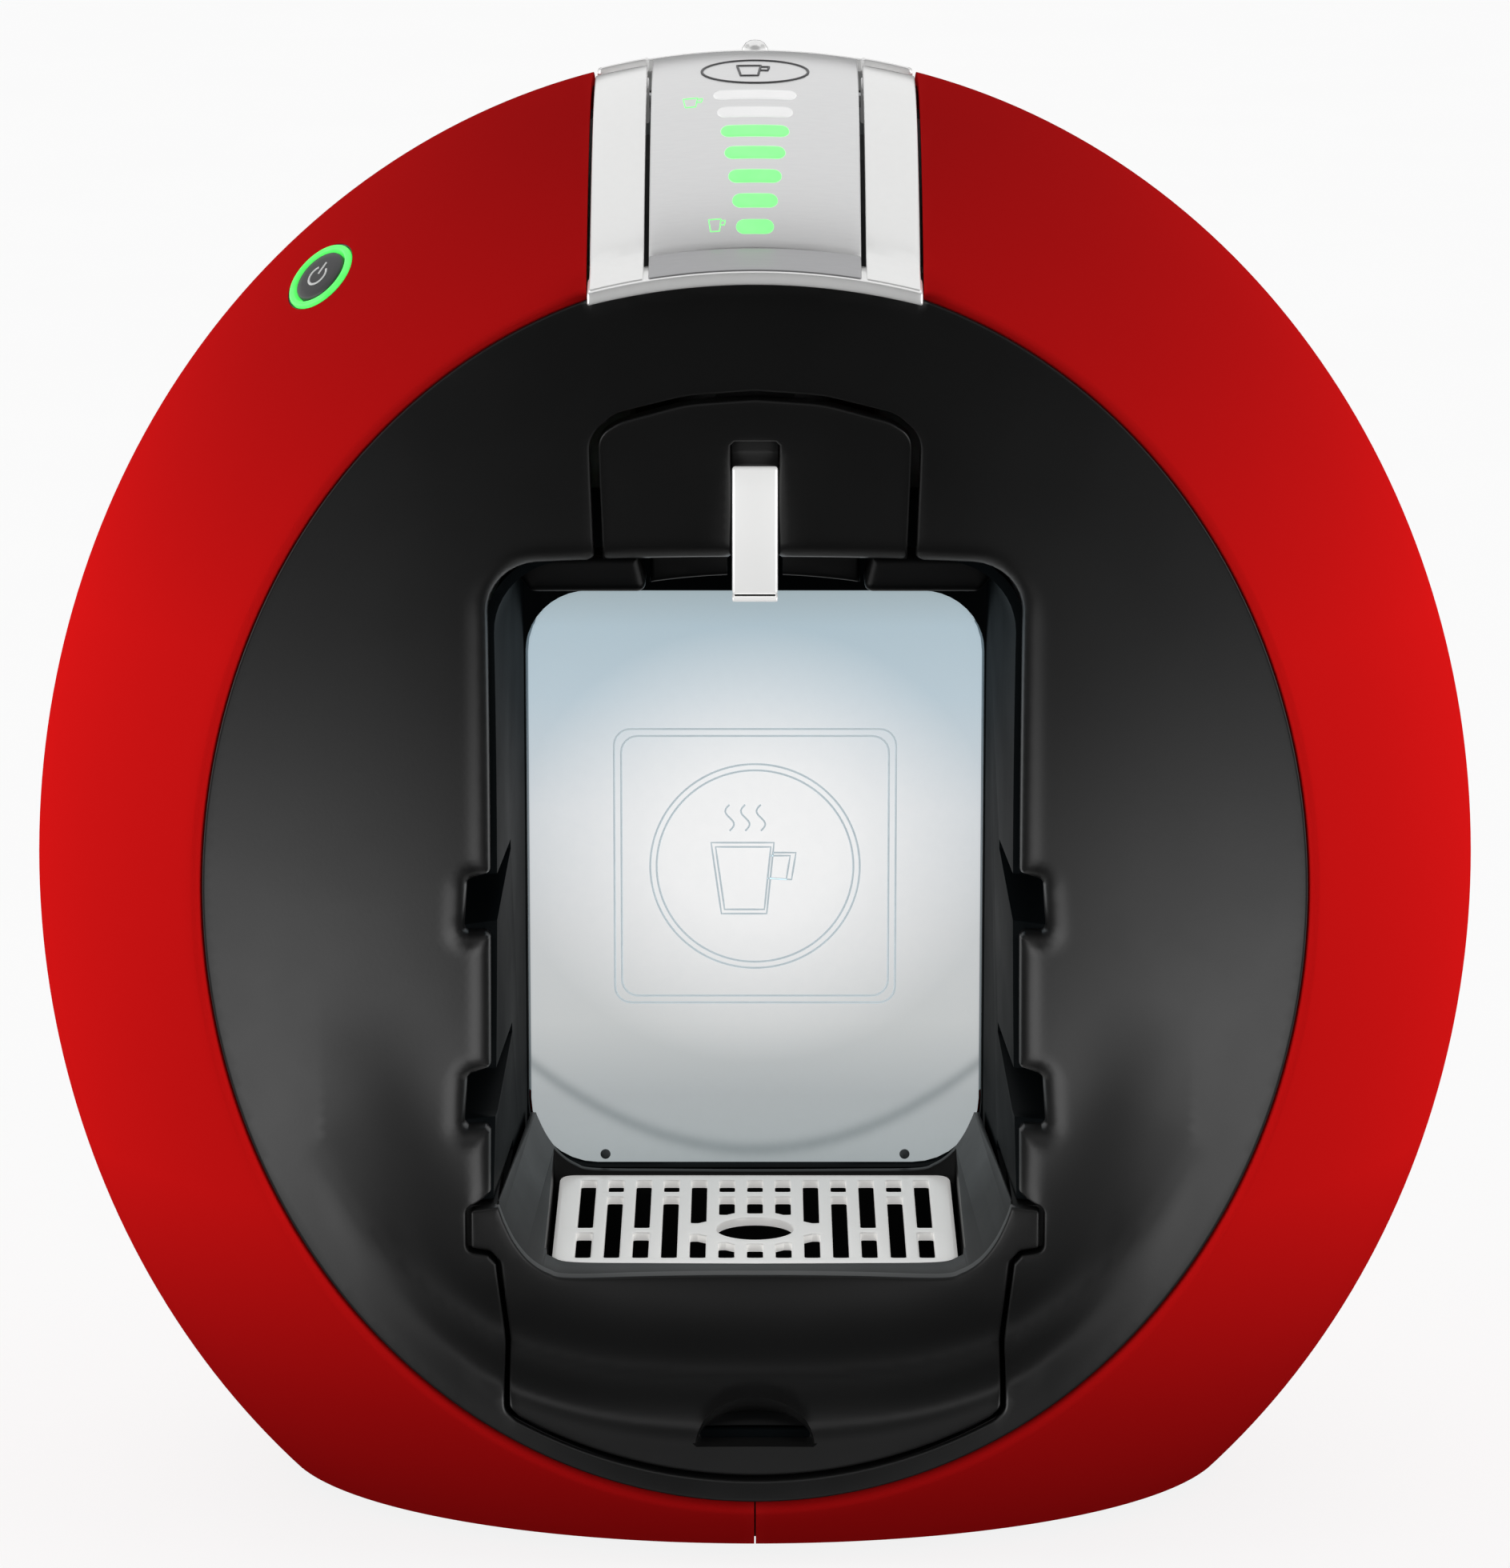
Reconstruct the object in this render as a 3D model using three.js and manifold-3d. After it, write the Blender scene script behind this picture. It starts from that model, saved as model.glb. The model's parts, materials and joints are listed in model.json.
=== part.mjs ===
// Pod coffee machine: an egg-shaped body with a dished black face, a cup bay, a capsule drawer,
// a locking handle over the top, a drip tray on rails and a lift-off water tank at the back.
// Millimetres, +Z up, front towards -Y. Shapes are made with z = 0 at the shells' bottom edge
// and y = 0 at the widest section, then the whole machine is moved onto its feet and centred.

import * as THREE from 'three';
import { mergeVertices } from 'three/addons/utils/BufferGeometryUtils.js';
import Module from 'manifold-3d';

const wasm = await Module();
wasm.setup();

// Driving sizes of the body.
const WIDTH = 287;
const HALF_WIDTH = WIDTH / 2;
const HALF_HEIGHT = 162.7;
const FRONT_DEPTH = 99;
const BACK_DEPTH = 112;
const MID_HEIGHT = 121.06;
const WALL = 2.2;
const GAP = 0.3;
const FOOT_HEIGHT = 3;

// The face: a leaning rim plane, its rim ellipse and a bowl sunk behind it.
const RIM_Y = -71.85;
const RIM_LEAN = 0.0487;
const RIM_MID = 129.65;
const RIM_HALF_WIDTH = 107.3;
const RIM_HALF_HEIGHT = 121.2;
const DISH_DEPTH = 30;

// The cup bay.
const BAY_FRONT_HALF = 51.6;
const BAY_BACK_HALF = 46.8;
const BAY_FRONT_Y = -60;
const BAY_BACK_Y = 31.5;
const BAY_TOP = 190;
const BAY_FLOOR = 22;
const BAY_CORNER = 14;
const LINER_WALL = 2;
const PANEL_Y = 28;
const PANEL_BOTTOM = 50.6;
const RAIL_LEVELS = [[54.7, 64.4], [81, 90.3], [119, 129.1]];
const RAIL_OUT = 57.5;
const RAIL_END_Y = -7;

// The top channel with the centre panel, the handle and the volume bars.
const CHANNEL_HALF = 31.8;
const PANEL_HALF = 20;
const ARM_IN = 20.6;
const ARM_OUT = 31.2;
const PIVOT_Y = 1;
const PIVOT_Z = 274.5;
const AXLE_RADIUS = 1.5;
const AXLE_HOLE = 1.8;
const LIP_CLEAR_RADIUS = 64.4;
const BAR_CENTRES = [[-54.3, 257], [-50, 261.5], [-45.5, 265.5], [-40.6, 269.4], [-35.5, 272.9],
  [-30.3, 276], [-24.7, 278.6]];
const BAR_SHORTEST = 7.1;
const BAR_GROWTH = 1.48;
const BAR_THICK = 3.2;

// The water tank.
const TANK_RADIUS = 72;
const TANK_MID = 124;
const TANK_FRONT_Y = 36.5;
const TANK_BACK_DEPTH = 126;
const TANK_WALL = 2.2;
const TANK_CLEARANCE = 1.5;
const TANK_HOUSING_Y = 33.5;
const LID_Z = 236;
const LID_HALF = 71.2;

// The brewing axis, through the capsule seat, and the round hole of the drip grid.
const BREW_Y = -13;
const GRID_HOLE_Y = -18.3;

const X = new THREE.Vector3(1, 0, 0);
const Y = new THREE.Vector3(0, 1, 0);
const Z = new THREE.Vector3(0, 0, 1);

// ---- solids -------------------------------------------------------------------------------

function solid(geometry) {
  const bare = geometry.clone();
  bare.deleteAttribute('uv');
  bare.deleteAttribute('normal');
  const merged = mergeVertices(bare, 1e-4);
  return new wasm.Manifold(new wasm.Mesh({
    numProp: 3,
    vertProperties: new Float32Array(merged.attributes.position.array),
    triVerts: new Uint32Array(merged.index.array),
  }));
}

function join(...solids) {
  return solids.reduce((sum, next) => sum.add(next));
}

function cut(from, ...tools) {
  return tools.reduce((rest, tool) => rest.subtract(tool), from);
}

// Sets every vertex from a rule of its old position, and returns the geometry.
function reshape(geometry, rule) {
  const p = geometry.attributes.position;
  for (let i = 0; i < p.count; i++) p.setXYZ(i, ...rule(p.getX(i), p.getY(i), p.getZ(i)));
  return geometry;
}

function box(x0, x1, y0, y1, z0, z1) {
  const block = new THREE.BoxGeometry(x1 - x0, y1 - y0, z1 - z0);
  return solid(block.translate((x0 + x1) / 2, (y0 + y1) / 2, (z0 + z1) / 2));
}

// A closed outline as a shape: a list of corners, or a shape that is passed straight through.
function outline(points) {
  if (points instanceof THREE.Shape) return points;
  return new THREE.Shape(points.map(([u, v]) => new THREE.Vector2(u, v)));
}

function extrude(shape, depth, basis, origin, steps = 1, curveSegments = 5) {
  const options = { depth, steps, curveSegments, bevelEnabled: false };
  const geometry = new THREE.ExtrudeGeometry(outline(shape), options);
  const matrix = new THREE.Matrix4().makeBasis(...basis).setPosition(origin);
  return geometry.applyMatrix4(matrix);
}

// Prisms whose outlines lie in the XZ, YZ and XY planes.
function prismY(points, y0, y1, steps = 1, curveSegments = 5) {
  const basis = [X, Z, Y.clone().negate()];
  return extrude(points, y1 - y0, basis, new THREE.Vector3(0, y1, 0), steps, curveSegments);
}

function prismX(points, x0, x1, steps = 1) {
  return extrude(points, x1 - x0, [Y, Z, X], new THREE.Vector3(x0, 0, 0), steps);
}

function prismZ(points, z0, z1, curveSegments = 4) {
  return extrude(points, z1 - z0, [X, Y, Z], new THREE.Vector3(0, 0, z0), 1, curveSegments);
}

function roundedRect(x0, x1, z0, z1, lower, upper) {
  const shape = new THREE.Shape();
  shape.moveTo(x0 + lower, z0);
  shape.lineTo(x1 - lower, z0);
  shape.absarc(x1 - lower, z0 + lower, lower, -Math.PI / 2, 0);
  shape.lineTo(x1, z1 - upper);
  shape.absarc(x1 - upper, z1 - upper, upper, 0, Math.PI / 2);
  shape.lineTo(x0 + upper, z1);
  shape.absarc(x0 + upper, z1 - upper, upper, Math.PI / 2, Math.PI);
  shape.lineTo(x0, z0 + lower);
  shape.absarc(x0 + lower, z0 + lower, lower, Math.PI, Math.PI * 1.5);
  return shape;
}

function ring(profile, centre, axis = Z, segments = 16) {
  const points = profile.map(([r, h]) => new THREE.Vector2(r, h));
  const turned = new THREE.LatheGeometry(points, segments);
  const turn = new THREE.Quaternion().setFromUnitVectors(Y, axis);
  return solid(turned.applyQuaternion(turn).translate(...centre));
}

function rod(radius, from, to, segments = 12) {
  const a = new THREE.Vector3(...from);
  const b = new THREE.Vector3(...to);
  const along = b.clone().sub(a);
  const bar = new THREE.CylinderGeometry(radius, radius, along.length(), segments);
  const turn = new THREE.Quaternion().setFromUnitVectors(Y, along.clone().normalize());
  const middle = a.add(b).multiplyScalar(0.5);
  return solid(bar.applyQuaternion(turn).translate(middle.x, middle.y, middle.z));
}

function ellipsoid(centre, radii, segments = 12) {
  const ball = new THREE.SphereGeometry(1, segments, segments / 2);
  return solid(ball.scale(...radii).translate(...centre));
}

function hose(points, radius) {
  const path = new THREE.CatmullRomCurve3(points.map((p) => new THREE.Vector3(...p)));
  const circle = new THREE.Shape().absarc(0, 0, radius, 0, Math.PI * 2);
  const options = { steps: 10, extrudePath: path, curveSegments: 4 };
  return solid(new THREE.ExtrudeGeometry(circle, options));
}

// ---- the body's own surfaces ---------------------------------------------------------------

// The egg of the body, shrunk by an inset, as a solid.
function egg(inset, back = BACK_DEPTH) {
  const ball = new THREE.SphereGeometry(1, 32, 16);
  return solid(reshape(ball, (x, y, z) => [
    x * (HALF_WIDTH - inset),
    y * ((y < 0 ? FRONT_DEPTH : back) - inset),
    MID_HEIGHT + z * (HALF_HEIGHT - inset),
  ]));
}

function eggLayer(outer, inner) {
  return cut(egg(outer), egg(inner));
}

function rimPlaneY(z) {
  return RIM_Y + RIM_LEAN * z;
}

// The bowl's surface: deepest in the middle, level with the rim plane at the rim.
function faceY(x, z) {
  const out = (x / RIM_HALF_WIDTH) ** 2 + ((z - RIM_MID) / RIM_HALF_HEIGHT) ** 2;
  return rimPlaneY(z) + DISH_DEPTH * (1 - out);
}

// Everything in front of a surface given as y over x and z.
function inFrontOf(surface, columns, rows) {
  const block = new THREE.BoxGeometry(300, 2, 320, columns, 1, rows);
  return solid(reshape(block, (x, y, z) => {
    const height = z + 140;
    return [x, y > 0 ? surface(x, height) : -260, height];
  }));
}

function inFrontOfFace(behind) {
  return inFrontOf((x, z) => faceY(x, z) + behind, 14, 14);
}

const beforeRimPlane = inFrontOf((x, z) => rimPlaneY(z), 1, 1);

function rimPlug(scale) {
  const drum = new THREE.CylinderGeometry(1, 1, 140, 40);
  drum.scale(RIM_HALF_WIDTH * scale, 1, RIM_HALF_HEIGHT * scale);
  return solid(drum.translate(0, -90, RIM_MID));
}

// ---- outlines of the openings in the face --------------------------------------------------

const DRAWER_BOTTOM_HALF = 31;
const DRAWER_TOP_HALF = 31.9;
const DRAWER_SHOULDER = 213;
const DRAWER_ARCH_EDGE = 25.6;
const DRAWER_ARCH_Z = 220.7;
const DRAWER_CROWN = 224.7;

// The arched front of the capsule drawer, shrunk by an inset on its sides and top.
function drawerOutline(inset, bottom) {
  const shape = new THREE.Shape();
  shape.moveTo(-(DRAWER_BOTTOM_HALF - inset), bottom);
  shape.lineTo(DRAWER_BOTTOM_HALF - inset, bottom);
  shape.lineTo(DRAWER_TOP_HALF - inset, DRAWER_SHOULDER);
  shape.quadraticCurveTo(DRAWER_TOP_HALF - inset, DRAWER_ARCH_Z - 1.5 - inset,
    DRAWER_ARCH_EDGE, DRAWER_ARCH_Z - inset);
  shape.quadraticCurveTo(0, 2 * DRAWER_CROWN - DRAWER_ARCH_Z - inset,
    -DRAWER_ARCH_EDGE, DRAWER_ARCH_Z - inset);
  shape.quadraticCurveTo(-(DRAWER_TOP_HALF - inset), DRAWER_ARCH_Z - 1.5 - inset,
    -(DRAWER_TOP_HALF - inset), DRAWER_SHOULDER);
  return shape;
}

const TRAY_TOP = 50;
const TRAY_TOP_HALF = 50.2;
const TRAY_LOW_HALF = 48.3;
const TRAY_CORNER_Z = 28;
const TRAY_ARC_HALF = 46.5;
const TRAY_ARC_RADIUS = 95.4;
const TRAY_BOTTOM = 14.3;

// The tray's front: nearly straight sides and an arched lower edge, grown by a clearance.
function trayOutline(grow) {
  const shape = new THREE.Shape();
  const centre = TRAY_BOTTOM + TRAY_ARC_RADIUS;
  const sweep = Math.asin(TRAY_ARC_HALF / TRAY_ARC_RADIUS);
  shape.moveTo(TRAY_TOP_HALF + grow, TRAY_TOP + grow);
  shape.lineTo(-TRAY_TOP_HALF - grow, TRAY_TOP + grow);
  shape.lineTo(-TRAY_LOW_HALF - grow, TRAY_CORNER_Z);
  shape.absarc(0, centre, TRAY_ARC_RADIUS + grow, -Math.PI / 2 - sweep, -Math.PI / 2 + sweep);
  shape.lineTo(TRAY_LOW_HALF + grow, TRAY_CORNER_Z);
  return shape;
}

// Half the width of the bay at a depth, between its inner walls.
function bayHalf(y) {
  const share = (y - BAY_FRONT_Y) / (BAY_BACK_Y - BAY_FRONT_Y);
  return BAY_FRONT_HALF + (BAY_BACK_HALF - BAY_FRONT_HALF) * share;
}

// A length of the tapered bay, grown outwards by a wall.
function bayPrism(grow, y0, y1) {
  const wide = bayHalf(y0) + grow;
  const section = roundedRect(-wide, wide, BAY_FLOOR - grow, BAY_TOP + grow, 6, BAY_CORNER);
  const prism = prismY(section, y0, y1);
  return solid(reshape(prism, (x, y, z) => [x * (bayHalf(y) + grow) / wide, y, z]));
}

// One rail groove on one side: level above, its underside rising to a point at the back.
function railGroove(side, [low, high], grow, frontY = -90) {
  const profile = [[frontY, low - grow], [-40, low - grow], [RAIL_END_Y + grow, high - 2 - grow],
    [RAIL_END_Y + grow, high + grow], [frontY, high + grow]];
  const x0 = side < 0 ? -RAIL_OUT - grow : 40;
  return solid(prismX(profile, x0, x0 + RAIL_OUT + grow - 40));
}

function railGrooves(grow) {
  return join(...[-1, 1].flatMap((side) => RAIL_LEVELS.map((level) => railGroove(side, level, grow))));
}

// ---- the scene -----------------------------------------------------------------------------

const machine = new THREE.Group();

const MATERIALS = {
  red: { color: 0xb01014, roughness: 0.22, metalness: 0 },
  black: { color: 0x1c1c1d, roughness: 0.38, metalness: 0 },
  liner: { color: 0x14191b, roughness: 0.45, metalness: 0 },
  chrome: { color: 0xdadada, roughness: 0.12, metalness: 1 },
  brushed: { color: 0xc9c9c9, roughness: 0.35, metalness: 1 },
  frosted: { color: 0xd5e3ea, roughness: 0.55, metalness: 0 },
  clear: { color: 0xb9c6cc, roughness: 0.12, metalness: 0, transparent: true, opacity: 0.4 },
  green: { color: 0x7dff80, roughness: 0.4, metalness: 0 },
  grey: { color: 0x444446, roughness: 0.5, metalness: 0 },
  steel: { color: 0x9fa3a6, roughness: 0.35, metalness: 1 },
  brass: { color: 0xb08d4a, roughness: 0.35, metalness: 1 },
  cast: { color: 0x8d9093, roughness: 0.5, metalness: 1 },
  rubber: { color: 0x101010, roughness: 0.85, metalness: 0 },
  silicone: { color: 0xd8d3c8, roughness: 0.6, metalness: 0 },
  board: { color: 0x1f5a34, roughness: 0.5, metalness: 0 },
};

function add(name, material, shape) {
  const { vertProperties, triVerts } = shape.getMesh();
  const geometry = new THREE.BufferGeometry();
  geometry.setAttribute('position', new THREE.BufferAttribute(new Float32Array(vertProperties), 3));
  geometry.setIndex(new THREE.BufferAttribute(new Uint32Array(triVerts), 1));
  geometry.computeVertexNormals();
  const mesh = new THREE.Mesh(geometry, new THREE.MeshStandardMaterial(MATERIALS[material]));
  mesh.name = name;
  machine.add(mesh);
}

// ---- side shells ---------------------------------------------------------------------------

// The channel of the tank: a half round below and straight sides above.
function tankChannel(radius, y0, y1, top) {
  const shape = new THREE.Shape();
  shape.moveTo(radius, top);
  shape.lineTo(-radius, top);
  shape.lineTo(-radius, TANK_MID);
  shape.absarc(0, TANK_MID, radius, Math.PI, Math.PI * 2);
  return solid(prismY(shape, y0, y1, 1, 20));
}

// The outward direction of the body's surface at a point on it.
function surfaceNormal(point) {
  const depth = point.y < 0 ? FRONT_DEPTH : BACK_DEPTH;
  return new THREE.Vector3(point.x / HALF_WIDTH ** 2, point.y / depth ** 2,
    (point.z - MID_HEIGHT) / HALF_HEIGHT ** 2).normalize();
}

const BUTTON = new THREE.Vector3(-83.95, -28.85, 244.14);
const BUTTON_AXIS = surfaceNormal(BUTTON);
const BUTTON_HOLE = 8;
const GLAND = new THREE.Vector3(-60, 72.9, 18);
const GLAND_AXIS = surfaceNormal(GLAND);

function buttonRod(radius, from, to) {
  const at = (distance) => BUTTON.clone().addScaledVector(BUTTON_AXIS, distance).toArray();
  return rod(radius, at(from), at(to), 20);
}

function addShells() {
  const channel = box(-CHANNEL_HALF, CHANNEL_HALF, -120, 34, 200, 320);
  const tank = tankChannel(TANK_RADIUS + TANK_CLEARANCE, TANK_HOUSING_Y, 200, 320);
  const shell = cut(eggLayer(0, WALL), beforeRimPlane, box(-200, 200, -200, 200, -60, 0),
    channel, tank, rimPlug(0.988));
  const button = buttonRod(BUTTON_HOLE, -12, 6);
  const gland = rod(7, GLAND.clone().addScaledVector(GLAND_AXIS, -9).toArray(),
    GLAND.clone().addScaledVector(GLAND_AXIS, 9).toArray(), 16);
  add('left_shell', 'red', cut(shell, box(-0.15, 200, -200, 200, -60, 320), button, gland));
  add('right_shell', 'red', cut(shell, box(-200, 0.15, -200, 200, -60, 320)));
}

// ---- face and bay --------------------------------------------------------------------------

// The top of the face follows the arc of the handle's lip, which drops towards its ends.
const LIP_HALF = 31.5;
const LIP_TOP = 250;
const LIP_DROP = 4;
const LIP_THICK = 2.4;
const LIP_FRONT_Y = -65.3;

// A bar along X with its profile in YZ, sinking towards both ends.
function lipBar(profile, half) {
  const bar = prismX(profile, -half, half, 12);
  return solid(reshape(bar, (x, y, z) => [x, y, z - LIP_DROP * (x / LIP_HALF) ** 2]));
}

function addFascia() {
  const skin = cut(inFrontOfFace(2.4), inFrontOfFace(0)).intersect(rimPlug(0.978));
  const underLip = LIP_TOP - LIP_THICK - 0.5;
  const lipRoom = lipBar([[-90, underLip], [-40, underLip], [-40, 270], [-90, 270]], 32.3);
  const bayMouth = bayPrism(LINER_WALL + GAP, -90, 10).intersect(box(-80, 80, -120, 20, TRAY_TOP, 200));
  const openings = [
    bayMouth,
    railGrooves(LINER_WALL + GAP),
    solid(prismY(drawerOutline(0, BAY_TOP - 4), -120, 0)),
    solid(prismY(trayOutline(0.8), -120, 0)),
    lipRoom,
  ];
  add('front_fascia', 'black', cut(skin, ...openings));
}

function addBay() {
  const outer = join(bayPrism(LINER_WALL, -80, BAY_BACK_Y), railGrooves(LINER_WALL));
  const window = roundedRect(-46.6, 46.6, PANEL_BOTTOM - GAP, BAY_TOP - 2, BAY_CORNER, BAY_CORNER);
  const behindFace = inFrontOfFace(3.6).intersect(box(-90, 90, -120, 0, 0, TRAY_TOP + GAP));
  const drawerRoom = box(-33.5, 33.5, -90, 18, 180, 200);
  const liner = cut(outer.intersect(egg(WALL + 1)), bayPrism(0, -100, PANEL_Y - 0.5),
    railGrooves(0), solid(prismY(window, 20, 40)), drawerRoom, inFrontOfFace(0), behindFace);
  add('bay_liner', 'liner', liner);

  const plate = roundedRect(-46.3, 46.3, PANEL_BOTTOM, BAY_TOP - 2.3, 13.7, 13.7);
  add('light_panel', 'frosted', solid(prismY(plate, PANEL_Y, PANEL_Y + 2.5)));
}

// ---- capsule drawer ------------------------------------------------------------------------

const DRAWER_FLOOR = 192;
const DRAWER_RIM = 205.5;
const PULL_HALF = 4.35;

function addDrawer() {
  const front = cut(inFrontOfFace(3), inFrontOfFace(0))
    .intersect(solid(prismY(drawerOutline(1.5, BAY_TOP + 0.5), -120, 0)));
  const slot = box(-4.7, 4.7, -90, -40.2, 150, 214.5);
  const holder = box(-29, 29, -47, 15, DRAWER_FLOOR, DRAWER_RIM);
  const seat = ring([[0, -20], [20, -20], [20, 8], [24.8, 8], [24.8, 30], [0, 30]],
    [0, BREW_Y, DRAWER_FLOOR], Z, 24);
  const drawer = cut(join(front, cut(holder, inFrontOfFace(1))), slot, seat);
  add('capsule_drawer', 'black', drawer);

  const grip = [[-50.5, 184.5], [-45.8, 184.5], [-44.5, 191.2], [-40.6, 191.2], [-40.6, 206],
    [-44.4, 209.8], [-48.6, 210.2]];
  add('drawer_pull', 'chrome', solid(prismX(grip, -PULL_HALF, PULL_HALF)));
}

// ---- drip tray and grid --------------------------------------------------------------------

const BASIN_HALF = 41.5;
const BASIN_BACK = 21.5;
const GRID_HALF = 40.2;
const GRID_FRONT = -43;
const GRID_BACK = 21;
const SLOT_COLUMNS = 13;
const SLOT_FIELD = 71.5;
const SLOT_WIDTH = 3.2;
const SLOT_FRONT = -38.7;
const SLOT_BACK = 16.9;
const HOLE_RADIUS = 7.8;

// A raised side of the tray: a sloping shoulder up to the cheek that runs along the bay wall.
function trayCheek(side) {
  const half = bayHalf(-70) - 1;
  const profile = [[side * (BASIN_HALF - 0.5), 45], [side * half, 49], [side * half, 62],
    [side * (half - 2), 62], [side * (BASIN_HALF + 2), TRAY_TOP], [side * (BASIN_HALF - 0.5), TRAY_TOP]];
  const corners = side < 0 ? profile.reverse() : profile;
  const prism = prismY(corners, -70, 23.5, 4);
  return solid(reshape(prism, (x, y, z) => [x * (bayHalf(y) - 1) / half, y, z]));
}

function addTray() {
  const front = cut(inFrontOfFace(3), inFrontOfFace(0))
    .intersect(solid(prismY(trayOutline(0), -120, 0)));
  const walls = box(-BASIN_HALF - 2, BASIN_HALF + 2, -62, BASIN_BACK + 2, 24, TRAY_TOP);
  const tabs = [-1, 1].map((side) => railGroove(side, RAIL_LEVELS[0], -0.5));
  const tabRoom = box(-49.5, 49.5, -90, 30, 50.5, 70);
  const cheeks = [-1, 1].map((side) => trayCheek(side));
  const scoop = (grow) => ellipsoid([0, -67, 19], [11.4 + grow, 9 + grow, 9.5 + grow]);
  const boss = scoop(2.2).intersect(solid(prismY(trayOutline(0), -120, -50)));
  const blank = cut(join(walls, boss, ...cheeks, ...tabs.map((tab) => cut(tab, tabRoom))),
    inFrontOfFace(0));
  const basin = box(-BASIN_HALF, BASIN_HALF, -49, BASIN_BACK, 26, TRAY_TOP + 20);
  const ledge = box(-GRID_HALF - 0.8, GRID_HALF + 0.8, GRID_FRONT - 2, BASIN_BACK, 48, 70);
  const below = box(-80, 80, -64, 60, 0, 23);
  const tray = cut(join(front, cut(blank, below)), basin, ledge, scoop(0));
  add('drip_tray', 'black', tray);
}

// One column of slots: alternate columns are broken near the back and nearer the front, and the
// middle ones end short of the round hole.
function slotRuns(column) {
  const offset = Math.abs(column - (SLOT_COLUMNS - 1) / 2);
  const breakY = column % 2 === 0 ? -19.5 : 6.5;
  if (offset === 0) return [[SLOT_FRONT, -29], [-7.5, 4.8], [8.2, SLOT_BACK]];
  if (offset === 1) return [[SLOT_FRONT, -28], [-8.5, 4.8], [8.2, SLOT_BACK]];
  if (offset === 2) return [[SLOT_FRONT, -22], [-14.5, SLOT_BACK]];
  return [[SLOT_FRONT, breakY - 1.7], [breakY + 1.7, SLOT_BACK]];
}

function addGrid() {
  const low = TRAY_TOP - 1.6;
  const plate = solid(prismZ(roundedRect(-GRID_HALF, GRID_HALF, GRID_FRONT, GRID_BACK, 6, 3),
    low, TRAY_TOP));
  const pitch = (SLOT_FIELD - SLOT_WIDTH) / (SLOT_COLUMNS - 1);
  const slots = [];
  for (let column = 0; column < SLOT_COLUMNS; column++) {
    const x = -SLOT_FIELD / 2 + column * pitch;
    for (const [y0, y1] of slotRuns(column)) {
      slots.push(box(x, x + SLOT_WIDTH, y0, y1, low - 1, TRAY_TOP + 1));
    }
  }
  const hole = rod(HOLE_RADIUS, [0, GRID_HOLE_Y, low - 1], [0, GRID_HOLE_Y, TRAY_TOP + 1], 24);
  add('drip_grid', 'steel', cut(plate, ...slots, hole));
}

// ---- top: panel, bars, handle --------------------------------------------------------------

// A volume bar's stadium outline, standing on the crest at one of the bar centres.
function volumeBar(index, grow, from, to) {
  const [y, z] = BAR_CENTRES[index];
  const normal = new THREE.Vector3(0, y / FRONT_DEPTH ** 2, (z - MID_HEIGHT) / HALF_HEIGHT ** 2);
  normal.normalize();
  const up = new THREE.Vector3(0, normal.z, -normal.y);
  const half = (BAR_SHORTEST + BAR_GROWTH * index) / 2 - BAR_THICK / 2;
  const radius = BAR_THICK / 2 + grow;
  const shape = new THREE.Shape();
  shape.absarc(half, 0, radius, -Math.PI / 2, Math.PI / 2);
  shape.absarc(-half, 0, radius, Math.PI / 2, Math.PI * 1.5);
  const origin = new THREE.Vector3(0, y, z).addScaledVector(normal, from);
  return solid(extrude(shape, to - from, [X, up, normal], origin, 1, 3));
}

const bars = BAR_CENTRES.map((centre, index) => index);

function strip(outer, inner, half, y0, y1) {
  return eggLayer(outer, inner).intersect(box(-half, half, y0, y1, 200, 320));
}

function addTop() {
  const reach = rod(LIP_CLEAR_RADIUS - 0.5, [-60, PIVOT_Y, PIVOT_Z], [60, PIVOT_Y, PIVOT_Z], 96);
  const panel = strip(0, 1.2, PANEL_HALF, -62, 13).intersect(reach);
  add('display_panel', 'brushed', cut(panel, ...bars.map((i) => volumeBar(i, GAP, -4, 3))));

  const plate = strip(1.6, 3.1, 14, -57, -18).intersect(reach);
  add('light_guide', 'green', join(plate, ...bars.map((i) => volumeBar(i, 0, -2.9, -0.2))));
  add('display_board', 'board', strip(3.6, 5.2, 15, -52, -12));

  const saddle = strip(13.5, 16.5, 30.5, -50, 12);
  const ears = join(box(-19.5, -16.5, -3, 5, 266, 278), box(16.5, 19.5, -3, 5, 266, 278));
  const cheeks = join(box(-30, -27.5, -10, 32, 250, 300), box(27.5, 30, -10, 32, 250, 300))
    .intersect(egg(12));
  const shelf = box(-29, 29, 12, 32, 252, 255);
  const axleHole = rod(AXLE_HOLE, [-25, PIVOT_Y, PIVOT_Z], [25, PIVOT_Y, PIVOT_Z]);
  add('top_frame', 'grey', cut(join(saddle, ears, cheeks, shelf), axleHole));
  add('handle_axle', 'steel', rod(AXLE_RADIUS, [-31, PIVOT_Y, PIVOT_Z], [31, PIVOT_Y, PIVOT_Z], 16));

  const leverSlot = box(-7, 7, 20.4, 27.6, 260, 300);
  add('rear_top_trim', 'chrome', cut(strip(-0.6, 2, 31, 13.5, 32.4), leverSlot)
    .add(strip(-0.6, 2, 31, 7, 14).subtract(box(-20.6, 20.6, 0, 13.8, 200, 320))));
}

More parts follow.
